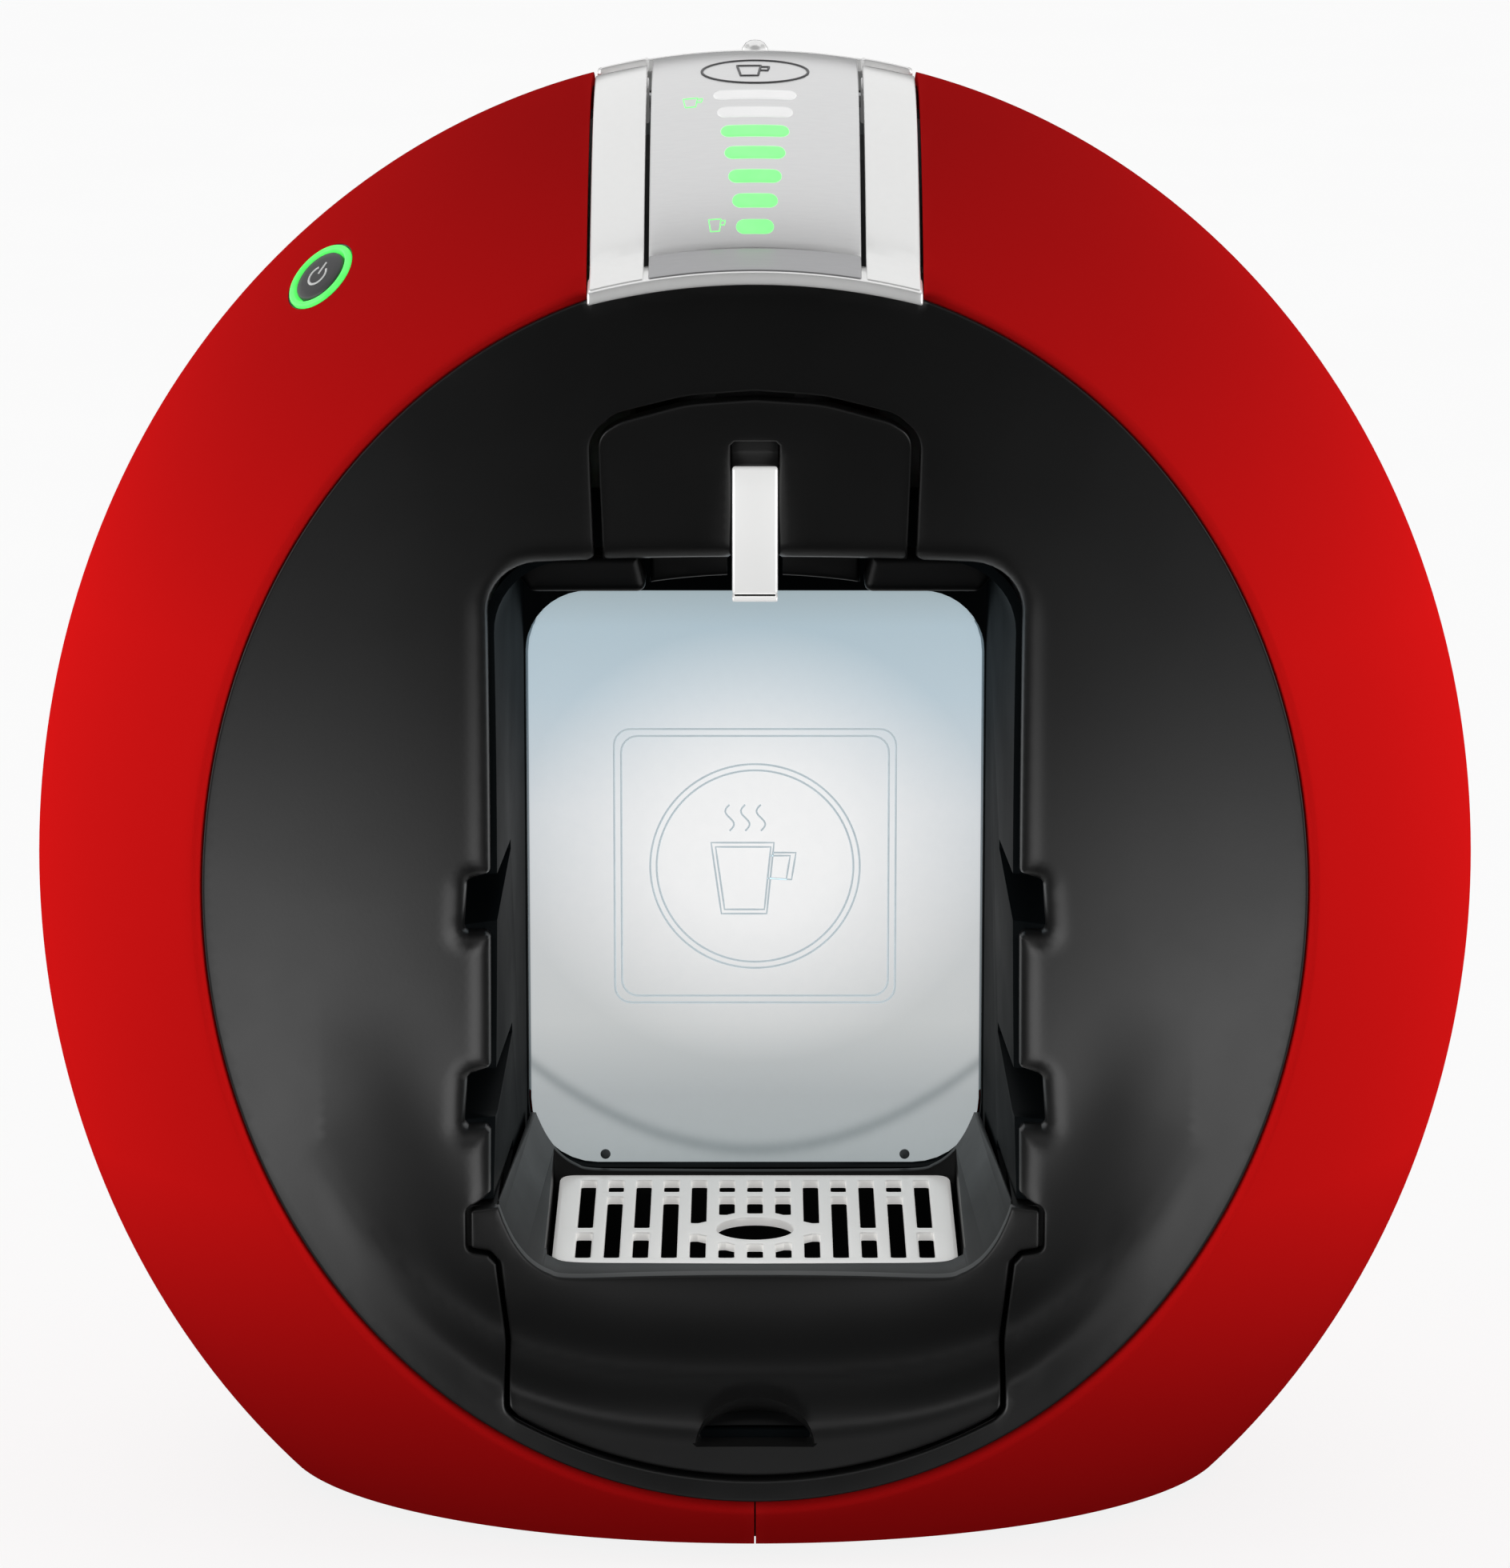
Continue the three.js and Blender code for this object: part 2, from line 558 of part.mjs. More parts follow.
function addHandle() {
  const arms = eggLayer(0, 5).intersect(join(box(-ARM_OUT, -ARM_IN, -70, -3, 230, 300),
    box(ARM_IN, ARM_OUT, -70, -3, 230, 300)));
  const low = LIP_TOP - 1.4;
  const underLip = lipBar([[-90, 200], [0, 200], [0, low], [-90, low]], 40);
  const profile = [[LIP_FRONT_Y, LIP_TOP - LIP_THICK], [-56, LIP_TOP - LIP_THICK], [-56, 252],
    [-59.2, 252], [-64.9, LIP_TOP]];
  const panelRoom = rod(LIP_CLEAR_RADIUS, [-ARM_IN, PIVOT_Y, PIVOT_Z],
    [ARM_IN, PIVOT_Y, PIVOT_Z], 96);
  const knuckle = (x0, x1) => rod(4.5, [x0, PIVOT_Y, PIVOT_Z], [x1, PIVOT_Y, PIVOT_Z]);
  const hole = rod(AXLE_HOLE, [-40, PIVOT_Y, PIVOT_Z], [40, PIVOT_Y, PIVOT_Z]);
  const lip = cut(lipBar(profile, LIP_HALF), panelRoom);
  add('locking_handle', 'chrome', cut(join(cut(arms, underLip), lip, knuckle(-ARM_OUT, -ARM_IN),
    knuckle(ARM_IN, ARM_OUT)), hole));
}

function addSelector() {
  const pivot = [0, 24, 266];
  const yoke = join(box(-9, 9, 17, 31.5, 255.3, 258.5), box(-5, 5, 17, 19.4, 258, 270),
    box(-5, 5, 28.6, 31.5, 258, 270));
  add('selector_base', 'black', cut(yoke, rod(1.8, [0, 10, 266], [0, 40, 266])));
  const lever = join(rod(3, [0, 20.2, 266], [0, 27.8, 266]), rod(1.5, [0, 17.4, 266], [0, 31, 266]),
    rod(1.8, pivot, [0, 24, 281]), ellipsoid([0, 24, 281.2], [2.7, 2.7, 2.7], 16));
  add('selector_lever', 'chrome', lever);
}

// ---- power button --------------------------------------------------------------------------

function addButton() {
  add('power_light_ring', 'green', cut(buttonRod(7.7, -6, 0.1), buttonRod(6.1, -8, 2)));
  add('power_button', 'grey', join(buttonRod(5.7, -2.6, 0), buttonRod(3, -8, -2)));
  add('power_switch', 'black', buttonRod(5, -17, -10));
}

// ---- water tank and its housing ------------------------------------------------------------

const COUPLING_Y = 62;

function addTank() {
  const radius = TANK_RADIUS + TANK_CLEARANCE;
  const shellRoom = egg(WALL + 0.8);
  const channel = cut(tankChannel(radius + 2, TANK_HOUSING_Y, 120, 320),
    tankChannel(radius, TANK_HOUSING_Y + 2, 130, 330));
  const window = roundedRect(-45, 45, 54, 186, 12, 12);
  const seatHole = rod(8.8, [0, COUPLING_Y, 40], [0, COUPLING_Y, 60]);
  add('tank_housing', 'frosted',
    cut(channel.intersect(shellRoom), solid(prismY(window, 20, 40)), seatHole));

  const outside = egg(0, TANK_BACK_DEPTH);
  const inside = egg(TANK_WALL, TANK_BACK_DEPTH);
  const drum = tankChannel(TANK_RADIUS, TANK_FRONT_Y, 140, LID_Z - GAP).intersect(outside);
  const water = tankChannel(TANK_RADIUS - TANK_WALL, TANK_FRONT_Y + TANK_WALL, 140, LID_Z + 5)
    .intersect(inside);
  const drain = rod(3, [0, COUPLING_Y, 45], [0, COUPLING_Y, 60]);
  add('water_tank', 'clear', cut(drum, water, drain));

  const capBlock = box(-LID_HALF, LID_HALF, TANK_FRONT_Y, 140, LID_Z, 320);
  const capRoom = box(-LID_HALF + TANK_WALL, LID_HALF - TANK_WALL, TANK_FRONT_Y + TANK_WALL, 150,
    LID_Z - 1, 320).intersect(inside);
  add('tank_lid', 'black', cut(capBlock.intersect(outside), capRoom));

  add('tank_valve', 'silicone', ring([[0, -8], [3.4, -8], [3.4, 0.2], [7.5, 0.2], [7.5, 2.6],
    [2.4, 2.6], [2.4, -4], [0, -4]], [0, COUPLING_Y, 49]));
  add('tank_coupling', 'grey', ring([[0, 0], [8, 0], [8, 26.4], [4.2, 26.4], [4.2, 12], [0, 12]],
    [0, COUPLING_Y, 22]));
}

// ---- base, feet and chassis ----------------------------------------------------------------

const FOOT_SPOTS = [[-62, -30], [62, -30], [-50, 50], [50, 50]];
const SCREW_SPOTS = [[-35, -45], [35, -45], [-22, 58], [22, 58]];
const PIPE_SPOTS = [[-86, 8], [87, 0], [87, 16]];

function addBase() {
  const plate = egg(WALL + 0.6).intersect(box(-200, 200, -200, 200, 0.2, 3.2));
  const heads = SCREW_SPOTS.map(([x, y]) => join(rod(3.8, [x, y, -1], [x, y, 2.1]),
    rod(1.9, [x, y, 1], [x, y, 6])));
  add('base_plate', 'grey', cut(plate, ...heads));

  const floor = egg(WALL + 6).intersect(box(-200, 200, -60, 80, 3.6, 5.6));
  const bosses = SCREW_SPOTS.map(([x, y]) => rod(4, [x, y, 4], [x, y, 13]));
  const holes = SCREW_SPOTS.map(([x, y]) => rod(1.9, [x, y, 0], [x, y, 11]));
  const pipes = PIPE_SPOTS.map(([x, y]) => rod(4.6, [x, y, 130], [x, y, 145]));
  const sides = [-1, 1].map((side) => {
    const wall = side < 0 ? box(-66, -63.5, -25, 30, 4, 140) : box(63.5, 66, -25, 30, 4, 140);
    const shelf = (z) => side < 0 ? box(-108, -64, -15, 30, z, z + 3) : box(64, 108, -15, 30, z, z + 3);
    return join(wall, shelf(52), shelf(136));
  });
  add('chassis', 'grey', cut(join(floor, ...bosses, ...sides), ...holes, ...pipes));

  FOOT_SPOTS.forEach(([x, y], index) => {
    add(`foot_${index + 1}`, 'rubber', ring([[0, 0], [8, 0], [9, 1], [9, 3], [0, 3]],
      [x, y, -FOOT_HEIGHT], Z, 14));
  });
  SCREW_SPOTS.forEach(([x, y], index) => {
    add(`base_screw_${index + 1}`, 'steel', ring([[0, 0], [3.3, 0], [3.3, 1.5], [1.5, 1.5], [1.5, 9],
      [0, 10]], [x, y, 0.3], Z, 8));
  });
}

// ---- brewing parts -------------------------------------------------------------------------

function addBrewHead() {
  const centre = [0, BREW_Y, 0];
  add('brew_head', 'black', ring([[0, 212.2], [24.5, 212.2], [24.5, 223], [10, 224], [10, 240],
    [0, 240]], centre, Z, 20));
  add('needle_plate', 'steel', ring([[0, 206.6], [1.2, 209], [21.6, 209], [21.6, 211.9], [0, 211.9]],
    centre));
  add('brew_seal', 'silicone', ring([[22, 208.5], [24.5, 208.5], [24.5, 211.9], [22, 211.9],
    [22, 208.5]], centre));
}

function addWaterworks() {
  const pumpAt = [-86, 8, 0];
  add('pump', 'steel', ring([[0, 60], [7, 60], [7, 68], [16, 68], [16, 118], [8, 118], [8, 131],
    [0, 131]], pumpAt));
  add('pump_mount_lower', 'rubber', ring([[7.5, 55.6], [13, 55.6], [13, 67.6], [7.5, 67.6],
    [7.5, 55.6]], pumpAt));
  add('pump_mount_upper', 'rubber', ring([[8.4, 118.4], [13, 118.4], [13, 135.6], [8.4, 135.6],
    [8.4, 118.4]], pumpAt));

  const block = solid(prismX(roundedRect(-12, 26, 58, 122, 6, 6), 72, 102));
  const stubs = join(rod(4, [87, 0, 120], [87, 0, 128]), rod(4, [87, 16, 120], [87, 16, 128]));
  add('thermoblock', 'cast', join(block, stubs));
  add('flow_meter', 'grey', join(rod(11, [-46, 50, 8], [-46, 50, 26]),
    rod(3.5, [-46, 50, 20], [-61, 50, 20])));

  add('tank_hose', 'silicone', hose([[-8.8, 62, 30], [-14, 61.5, 30], [-24, 57, 25],
    [-33.9, 52.5, 20]], 2.4));
  add('pump_hose', 'silicone', hose([[-61.6, 50, 20], [-66, 50, 20], [-76, 44, 25], [-84, 26, 38],
    [-86, 9, 44], [-86, 8, 47.5], [-86, 8, 51]], 3));
  add('feed_hose', 'silicone', hose([[-86, 8, 141], [-84, 14, 175], [-62, 24, 224], [0, 22, 240],
    [62, 24, 222], [84, 20, 170], [87, 16, 129]], 3));
  add('hot_hose', 'silicone', hose([[87, 0, 129], [87, 0, 142], [84, -6, 160],
    [62, -12, 205], [30, BREW_Y, 232], [11.5, BREW_Y, 233]], 2.6));
}

function addElectrics() {
  const sheet = box(86, 87.6, 34, 72, 78, 150);
  const parts = [box(87, 95, 38, 52, 84, 104), box(87, 96, 55, 66, 86, 100),
    box(87, 92, 40, 68, 120, 128)];
  add('control_board', 'board', join(sheet, ...parts));
  add('mains_gland', 'black', ring([[3.4, -12], [6.5, -12], [6.5, 0.9], [9.5, 0.9], [9.5, 4],
    [3.4, 4], [3.4, -12]], GLAND.toArray(), GLAND_AXIS));
}

addShells();
addFascia();
addBay();
addDrawer();
addTray();
addGrid();
addTop();
addHandle();
addSelector();
addButton();
addTank();
addBase();
addBrewHead();
addWaterworks();
addElectrics();

// Stand the machine on its feet and centre its depth on the origin.
const bounds = new THREE.Box3().setFromObject(machine);
const shiftY = -(bounds.min.y + bounds.max.y) / 2;
for (const mesh of machine.children) mesh.geometry.translate(0, shiftY, FOOT_HEIGHT);

export default machine;
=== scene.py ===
"""Looks of the pod coffee machine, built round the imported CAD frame.

Shapes are worked out in the CAD model's own millimetres (z = 0 at the shells' bottom edge, y = 0 at the
widest section) and moved into the frame, in metres, as each mesh is made.
"""

import json
import math

import bmesh
import bpy
import numpy as np
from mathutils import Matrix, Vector
from mathutils.geometry import delaunay_2d_cdt


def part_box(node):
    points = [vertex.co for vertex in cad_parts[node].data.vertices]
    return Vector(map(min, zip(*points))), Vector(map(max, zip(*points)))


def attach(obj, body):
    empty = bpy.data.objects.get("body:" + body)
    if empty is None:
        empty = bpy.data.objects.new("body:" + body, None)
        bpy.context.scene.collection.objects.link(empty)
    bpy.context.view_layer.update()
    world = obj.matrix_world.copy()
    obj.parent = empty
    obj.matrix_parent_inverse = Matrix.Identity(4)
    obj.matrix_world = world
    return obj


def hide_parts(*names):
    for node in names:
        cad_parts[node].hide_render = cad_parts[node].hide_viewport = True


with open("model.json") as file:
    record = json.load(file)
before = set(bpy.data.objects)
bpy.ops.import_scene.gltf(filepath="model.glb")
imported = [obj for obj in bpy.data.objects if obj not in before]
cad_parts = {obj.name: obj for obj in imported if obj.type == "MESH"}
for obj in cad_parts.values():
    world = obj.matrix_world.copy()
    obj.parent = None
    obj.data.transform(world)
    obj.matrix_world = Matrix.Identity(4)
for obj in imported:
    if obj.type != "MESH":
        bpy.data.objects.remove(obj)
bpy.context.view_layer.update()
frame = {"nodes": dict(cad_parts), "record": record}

# ---- sizes shared with the CAD model, in millimetres -----------------------------------------

HALF_WIDTH = 143.5
HALF_HEIGHT = 162.7
FRONT_DEPTH = 99.0
BACK_DEPTH = 112.0
MID_HEIGHT = 121.06
WALL = 2.2
FOOT_HEIGHT = 3.0

RIM_Y = -71.85
RIM_LEAN = 0.0487
RIM_MID = 129.65
RIM_HALF_WIDTH = 107.3
RIM_HALF_HEIGHT = 121.2
DISH_DEPTH = 30.0

BAY_FRONT_HALF = 51.6
BAY_BACK_HALF = 46.8
BAY_FRONT_Y = -60.0
BAY_BACK_Y = 31.5
BAY_TOP = 190.0
BAY_FLOOR = 22.0
PANEL_Y = 28.0
RAIL_LEVELS = [(56.4, 65.4), (80.6, 89.8), (117.8, 127.6)]
RAIL_OUT = 57.0
RAIL_END_Y = -7.0

CHANNEL_HALF = 31.8
PANEL_HALF = 20.0
ARM_OUT = 31.2
PIVOT_Y = 1.0
PIVOT_Z = 274.5
BAR_CENTRES = [(-54.3, 257), (-50, 261.5), (-45.5, 265.5), (-40.6, 269.4), (-35.5, 272.9),
               (-30.3, 276), (-24.7, 278.6)]
BAR_SHORTEST = 7.1
BAR_GROWTH = 1.48
BAR_THICK = 3.2

TANK_RADIUS = 72.0
TANK_MID = 124.0
TANK_FRONT_Y = 36.5
TANK_BACK_DEPTH = 126.0
LID_Z = 236.0
BREW_Y = -13.0
COUPLING_Y = 62.0

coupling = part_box("tank_coupling")
SHIFT = np.array([0.0, (coupling[0].y + coupling[1].y) * 500 - COUPLING_Y, FOOT_HEIGHT])

# ---- meshes ----------------------------------------------------------------------------------


def mesh_object(name, points, faces):
    mesh = bpy.data.meshes.new(name)
    mesh.from_pydata(((np.asarray(points, float) + SHIFT) * 0.001).tolist(), [], faces)
    obj = bpy.data.objects.new(name, mesh)
    bpy.context.scene.collection.objects.link(obj)
    return obj


def recalculate(obj):
    bm = bmesh.new()
    bm.from_mesh(obj.data)
    bmesh.ops.recalc_face_normals(bm, faces=bm.faces)
    bm.to_mesh(obj.data)
    bm.free()
    return obj


def soften(obj, angle=35):
    """Smooth shading that stays sharp where two faces meet at more than an angle."""
    bm = bmesh.new()
    bm.from_mesh(obj.data)
    bmesh.ops.remove_doubles(bm, verts=bm.verts, dist=2e-7)
    bmesh.ops.dissolve_degenerate(bm, edges=bm.edges, dist=1e-7)
    limit = math.radians(angle)
    for face in bm.faces:
        face.smooth = True
    for edge in bm.edges:
        edge.smooth = len(edge.link_faces) == 2 and edge.calc_face_angle(0) < limit
    bm.to_mesh(obj.data)
    bm.free()
    return obj


def baked(obj):
    """Applies every modifier of an object to its mesh."""
    depsgraph = bpy.context.evaluated_depsgraph_get()
    mesh = bpy.data.meshes.new_from_object(obj.evaluated_get(depsgraph))
    obj.modifiers.clear()
    obj.data = mesh
    return obj


def combine(obj, cutters, operation="DIFFERENCE"):
    """Cuts, joins or intersects an object with others, which are used up."""
    for cutter in cutters:
        modifier = obj.modifiers.new("cut", "BOOLEAN")
        modifier.operation = operation
        modifier.solver = "MANIFOLD"
        modifier.object = cutter
    bpy.context.view_layer.update()
    baked(obj)
    for cutter in cutters:
        bpy.data.objects.remove(cutter)
    return obj


def bevelled(obj, width, angle=40, segments=2):
    """Rounds the sharp edges of an object, by a width in millimetres."""
    modifier = obj.modifiers.new("bevel", "BEVEL")
    modifier.width = width * 0.001
    modifier.segments = segments
    modifier.limit_method = "ANGLE"
    modifier.angle_limit = math.radians(angle)
    modifier.harden_normals = False
    bpy.context.view_layer.update()
    return baked(obj)


def block(x0, x1, y0, y1, z0, z1):
    points = [(x, y, z) for x in (x0, x1) for y in (y0, y1) for z in (z0, z1)]
    faces = [(0, 1, 3, 2), (4, 6, 7, 5), (0, 4, 5, 1), (2, 3, 7, 6), (0, 2, 6, 4), (1, 5, 7, 3)]
    return recalculate(mesh_object("block", points, faces))


def loft(name, sections, closed_ends=True):
    """A skin over equal-length closed sections, given as lists of points."""
    count = len(sections[0])
    points = [p for section in sections for p in section]
    faces = []
    for row in range(len(sections) - 1):
        for i in range(count):
            j = (i + 1) % count
            a, b = row * count, (row + 1) * count
            faces.append((a + i, a + j, b + j, b + i))
    if closed_ends:
        faces.append(tuple(range(count)))
        faces.append(tuple(range((len(sections) - 1) * count, len(sections) * count)))
    return recalculate(mesh_object(name, points, faces))


def prism(plane, outline, low, high, name="prism"):
    """A straight prism. Its outline lies in the XZ, YZ or XY plane."""
    place = {"XZ": lambda u, v, w: (u, w, v),
             "YZ": lambda u, v, w: (w, u, v),
             "XY": lambda u, v, w: (u, v, w)}
    return loft(name, [[place[plane](u, v, w) for u, v in outline] for w in (low, high)])


def lathe(name, profile, centre, axis=(0, 0, 1), segments=64):
    """A profile of (radius, height) pairs turned about an axis through a centre."""
    turn = Vector((0, 0, 1)).rotation_difference(Vector(axis)).to_matrix()
    points, faces, rings = [], [], []
    for radius, height in profile:
        if radius < 1e-6:
            rings.append([len(points)] * segments)
            points.append(Vector((0, 0, height)))
            continue
        rings.append(list(range(len(points), len(points) + segments)))
        for i in range(segments):
            a = 2 * math.pi * i / segments
            points.append(Vector((radius * math.cos(a), radius * math.sin(a), height)))
    for low, high in zip(rings, rings[1:]):
        for i in range(segments):
            j = (i + 1) % segments
            corners = list(dict.fromkeys((low[i], low[j], high[j], high[i])))
            if len(corners) > 2:
                faces.append(corners)
    moved = [tuple(turn @ p + Vector(centre)) for p in points]
    return recalculate(mesh_object(name, moved, faces))


def rod(radius, start, end, segments=32):
    axis = Vector(end) - Vector(start)
    profile = [(0, 0), (radius, 0), (radius, axis.length), (0, axis.length)]
    return lathe("rod", profile, start, axis.normalized(), segments)


# ---- outlines --------------------------------------------------------------------------------


def rounded(corners, step=8):
    """A closed outline from (u, v, radius) corners, with an arc at each corner that has a radius."""
    out = []
    for i, (u, v, radius) in enumerate(corners):
        here = np.array([u, v], float)
        before = np.array(corners[i - 1][:2], float) - here
        after = np.array(corners[(i + 1) % len(corners)][:2], float) - here
        if radius <= 0:
            out.append(here)
            continue
        la, lb = np.linalg.norm(before), np.linalg.norm(after)
        before, after = before / la, after / lb
        half = math.acos(np.clip(before @ after, -1, 1)) / 2
        if half > math.radians(89.5):
            out.append(here)
            continue
        reach = min(radius / math.tan(half), la * 0.49, lb * 0.49)
        radius = reach * math.tan(half)
        middle = here + (before + after) / np.linalg.norm(before + after) * radius / math.sin(half)
        first, last = here + before * reach - middle, here + after * reach - middle
        a0, a1 = math.atan2(first[1], first[0]), math.atan2(last[1], last[0])
        sweep = (a1 - a0 + math.pi) % (2 * math.pi) - math.pi
        for k in range(step + 1):
            a = a0 + sweep * k / step
            out.append(middle + radius * np.array([math.cos(a), math.sin(a)]))
    return np.array(out)


def dense(loop, step=1.0, closed=True):
    """The same line with points no further apart than a step."""
    loop = np.asarray(loop, float)
    ends = np.roll(loop, -1, 0) if closed else loop[1:]
    out = []
    for a, b in zip(loop, ends):
        n = max(1, math.ceil(np.linalg.norm(b - a) / step))
        out.extend(a + (b - a) * k / n for k in range(n))
    if not closed:
        out.append(loop[-1])
    return np.array(out)


def area(loop):
    x, y = loop[:, 0], loop[:, 1]
    return 0.5 * np.sum(x * np.roll(y, -1) - y * np.roll(x, -1))


def mirrored(half):
    """A closed outline from its right half, which runs from the top centre to the bottom centre."""
    half = np.asarray(half, float)
    other = half[::-1] * [-1, 1]
    keep = np.abs(other[:, 0]) > 1e-6
    return np.vstack([half, other[keep]])


def shifted(loop, distance):
    """The outline moved to its left by a distance: inwards if it runs anticlockwise."""
    along = np.roll(loop, -1, 0) - np.roll(loop, 1, 0)
    along /= np.linalg.norm(along, axis=1)[:, None] + 1e-12
    return loop + distance * np.stack([-along[:, 1], along[:, 0]], 1)


def distance_to(points, line, closed=True):
    """The distance of each point from a line of segments."""
    a = np.asarray(line, float)
    b = np.roll(a, -1, 0) if closed else a[1:]
    a = a if closed else a[:-1]
    d = b - a
    length = np.maximum((d ** 2).sum(1), 1e-12)
    best = np.empty(len(points))
    for i in range(0, len(points), 2000):
        p = points[i:i + 2000, None, :] - a[None]
        t = np.clip((p * d[None]).sum(2) / length[None], 0, 1)
        best[i:i + 2000] = np.sqrt(((p - t[..., None] * d[None]) ** 2).sum(2).min(1))
    return best


def inside(points, loops):
    """Which points lie inside the first outline and outside the others."""
    result = np.zeros(len(points), bool)
    for loop in loops:
        a, b = loop, np.roll(loop, -1, 0)
        for i in range(0, len(points), 4000):
            x, y = points[i:i + 4000, 0:1], points[i:i + 4000, 1:2]
            crosses = (a[:, 1] > y) != (b[:, 1] > y)
            at = a[:, 0] + (y - a[:, 1]) * (b[:, 0] - a[:, 0]) / (b[:, 1] - a[:, 1] + 1e-15)
            result[i:i + 4000] ^= (crosses & (x < at)).sum(1) % 2 == 1
    return result


def relief(name, plane, outline, holes, front, back, rounding=0.6, spacing=1.6, hole_rounding=None,
           lines=(), step=1.0):
    """A closed plate over an outline in the XZ or XY plane, with rounded edges.

    front and back give the depth of its two faces over the plane: y for XZ, whose face looks to -Y,
    and z for XY, whose face looks up. lines are extra open lines that the mesh follows.
    """
    inwards = 1 if plane == "XZ" else -1
    loops = [dense(outline, step)] + [dense(hole, step) for hole in holes]
    loops = [loop if (area(loop) > 0) == (i == 0) else loop[::-1] for i, loop in enumerate(loops)]
    radii = [rounding] + [rounding if hole_rounding is None else hole_rounding] * len(holes)
    low, high = loops[0].min(0), loops[0].max(0)

    rings = []
    for loop, radius in zip(loops, radii):
        for angle in (22, 42, 62, 90) if radius > 0 else ():
            rings.append((shifted(loop, radius * (1 - math.cos(math.radians(angle)))),
                          radius * (1 - math.cos(math.radians(angle)))))
    columns = np.arange(low[0], high[0], spacing)
    rows = np.arange(low[1], high[1], spacing * 0.866)
    grid = np.array([(u + (k % 2) * spacing / 2, v) for k, v in enumerate(rows) for u in columns])
    grid = grid[inside(grid, loops)]
    clear = np.min([distance_to(grid, loop) - radius for loop, radius in zip(loops, radii)], 0)
    grid = grid[clear > spacing * 0.45]
    for line in lines:
        grid = grid[distance_to(grid, line, closed=False) > spacing * 0.5]
    points = [*loops]
    for ring, d in rings:
        far = np.min([distance_to(ring, loop) for loop in loops], 0)
        points.append(ring[(far > d * 0.93) & inside(ring, loops)])
    edges, start = [], 0
    for loop in loops:
        n = len(loop)
        edges += [(start + i, start + (i + 1) % n) for i in range(n)]
        start += n
    start = sum(len(p) for p in points)
    for line in lines:
        edges += [(start + i, start + i + 1) for i in range(len(line) - 1)]
        points.append(np.asarray(line))
        start += len(line)
    points.append(grid)
    flat = np.vstack(points)
    verts, _, tris, *_ = delaunay_2d_cdt([Vector(p) for p in flat], edges, [], 0, 1e-5, False)
    verts = np.array([tuple(v) for v in verts])
    tris = np.array(tris)
    tris = tris[inside(verts[tris].mean(1), loops)]
    used = np.unique(tris)
    remap = np.full(len(verts), -1)
    remap[used] = np.arange(len(used))
    verts, tris = verts[used], remap[tris]

    top = front(verts[:, 0], verts[:, 1])
    for loop, radius in zip(loops, radii):
        if radius > 0:
            d = np.clip(distance_to(verts, loop), 0, radius)
            top = top + inwards * (radius - np.sqrt(np.maximum(radius ** 2 - (radius - d) ** 2, 0)))
    bottom = back(verts[:, 0], verts[:, 1])
    n = len(verts)
    if plane == "XZ":
        near = np.stack([verts[:, 0], top, verts[:, 1]], 1)
        far = np.stack([verts[:, 0], bottom, verts[:, 1]], 1)
    else:
        near = np.stack([verts[:, 0], verts[:, 1], top], 1)
        far = np.stack([verts[:, 0], verts[:, 1], bottom], 1)
    faces = [tuple(t) for t in tris.tolist()] + [(c + n, b + n, a + n) for a, b, c in tris.tolist()]
    directed = {}
    for a, b, c in tris.tolist():
        for i, j in ((a, b), (b, c), (c, a)):
            directed[(i, j)] = True
    faces += [(i, i + n, j + n, j) for i, j in directed if (j, i) not in directed]
    return recalculate(mesh_object(name, np.vstack([near, far]), faces))


# ---- the body's own surfaces -------------------------------------------------------------------


def rim_plane(z):
    return RIM_Y + RIM_LEAN * z


def bowl(x, z):
    out = (x / RIM_HALF_WIDTH) ** 2 + ((z - RIM_MID) / RIM_HALF_HEIGHT) ** 2
    return rim_plane(z) + DISH_DEPTH * (1 - out)


def crest(x, y, inset=0.0, back=BACK_DEPTH):
    """The height of the body's upper surface."""
    depth = np.where(np.asarray(y) < 0, FRONT_DEPTH, back) - inset
    rest = 1 - (x / (HALF_WIDTH - inset)) ** 2 - (y / depth) ** 2
    return MID_HEIGHT + (HALF_HEIGHT - inset) * np.sqrt(np.maximum(rest, 0))


# The fold that sweeps round the lower face, and the softer ridge below it, as (x, z) to the right.
FOLD = np.array([(0, 30.8), (14.5, 31.3), (28.5, 32.8), (37.8, 34.9), (47.1, 38.1), (53.3, 41.7),
                 (59.5, 46.2), (65.7, 52.2), (71.8, 59.0), (77.9, 67.1), (84.0, 78.1)], float)
RIDGE = np.array([(0, 21.8), (9.8, 22.3), (22.2, 23.7), (34.7, 26.7), (47.1, 31.7), (54.8, 36.8),
                  (62.5, 43.6), (68.7, 51.4), (72.6, 59.1)], float)


def smooth_line(line):
    """A curve through a few points, sampled finely."""
    fine = np.linspace(0, len(line) - 1, 12 * len(line))
    padded = np.vstack([2 * line[0] - line[1], line, 2 * line[-1] - line[-2]])
    k = np.minimum(fine.astype(int), len(line) - 2)
    u = (fine - k)[:, None]
    p0, p1, p2, p3 = padded[k], padded[k + 1], padded[k + 2], padded[k + 3]
    return 0.5 * (2 * p1 + (p2 - p0) * u + (2 * p0 - 5 * p1 + 4 * p2 - p3) * u ** 2
                  + (3 * p1 - p0 - 3 * p2 + p3) * u ** 3)


fold_line = smooth_line(FOLD)
ridge_line = smooth_line(RIDGE)


def below(x, z, line):
    """Signed distance from a line that rises to the right: positive under it."""
    points = np.stack([np.abs(x), z], 1)
    distance = distance_to(points, line, closed=False)
    height = np.interp(np.abs(x), line[:, 0], line[:, 1], right=1e3)
    return np.where(z < height, distance, -distance)


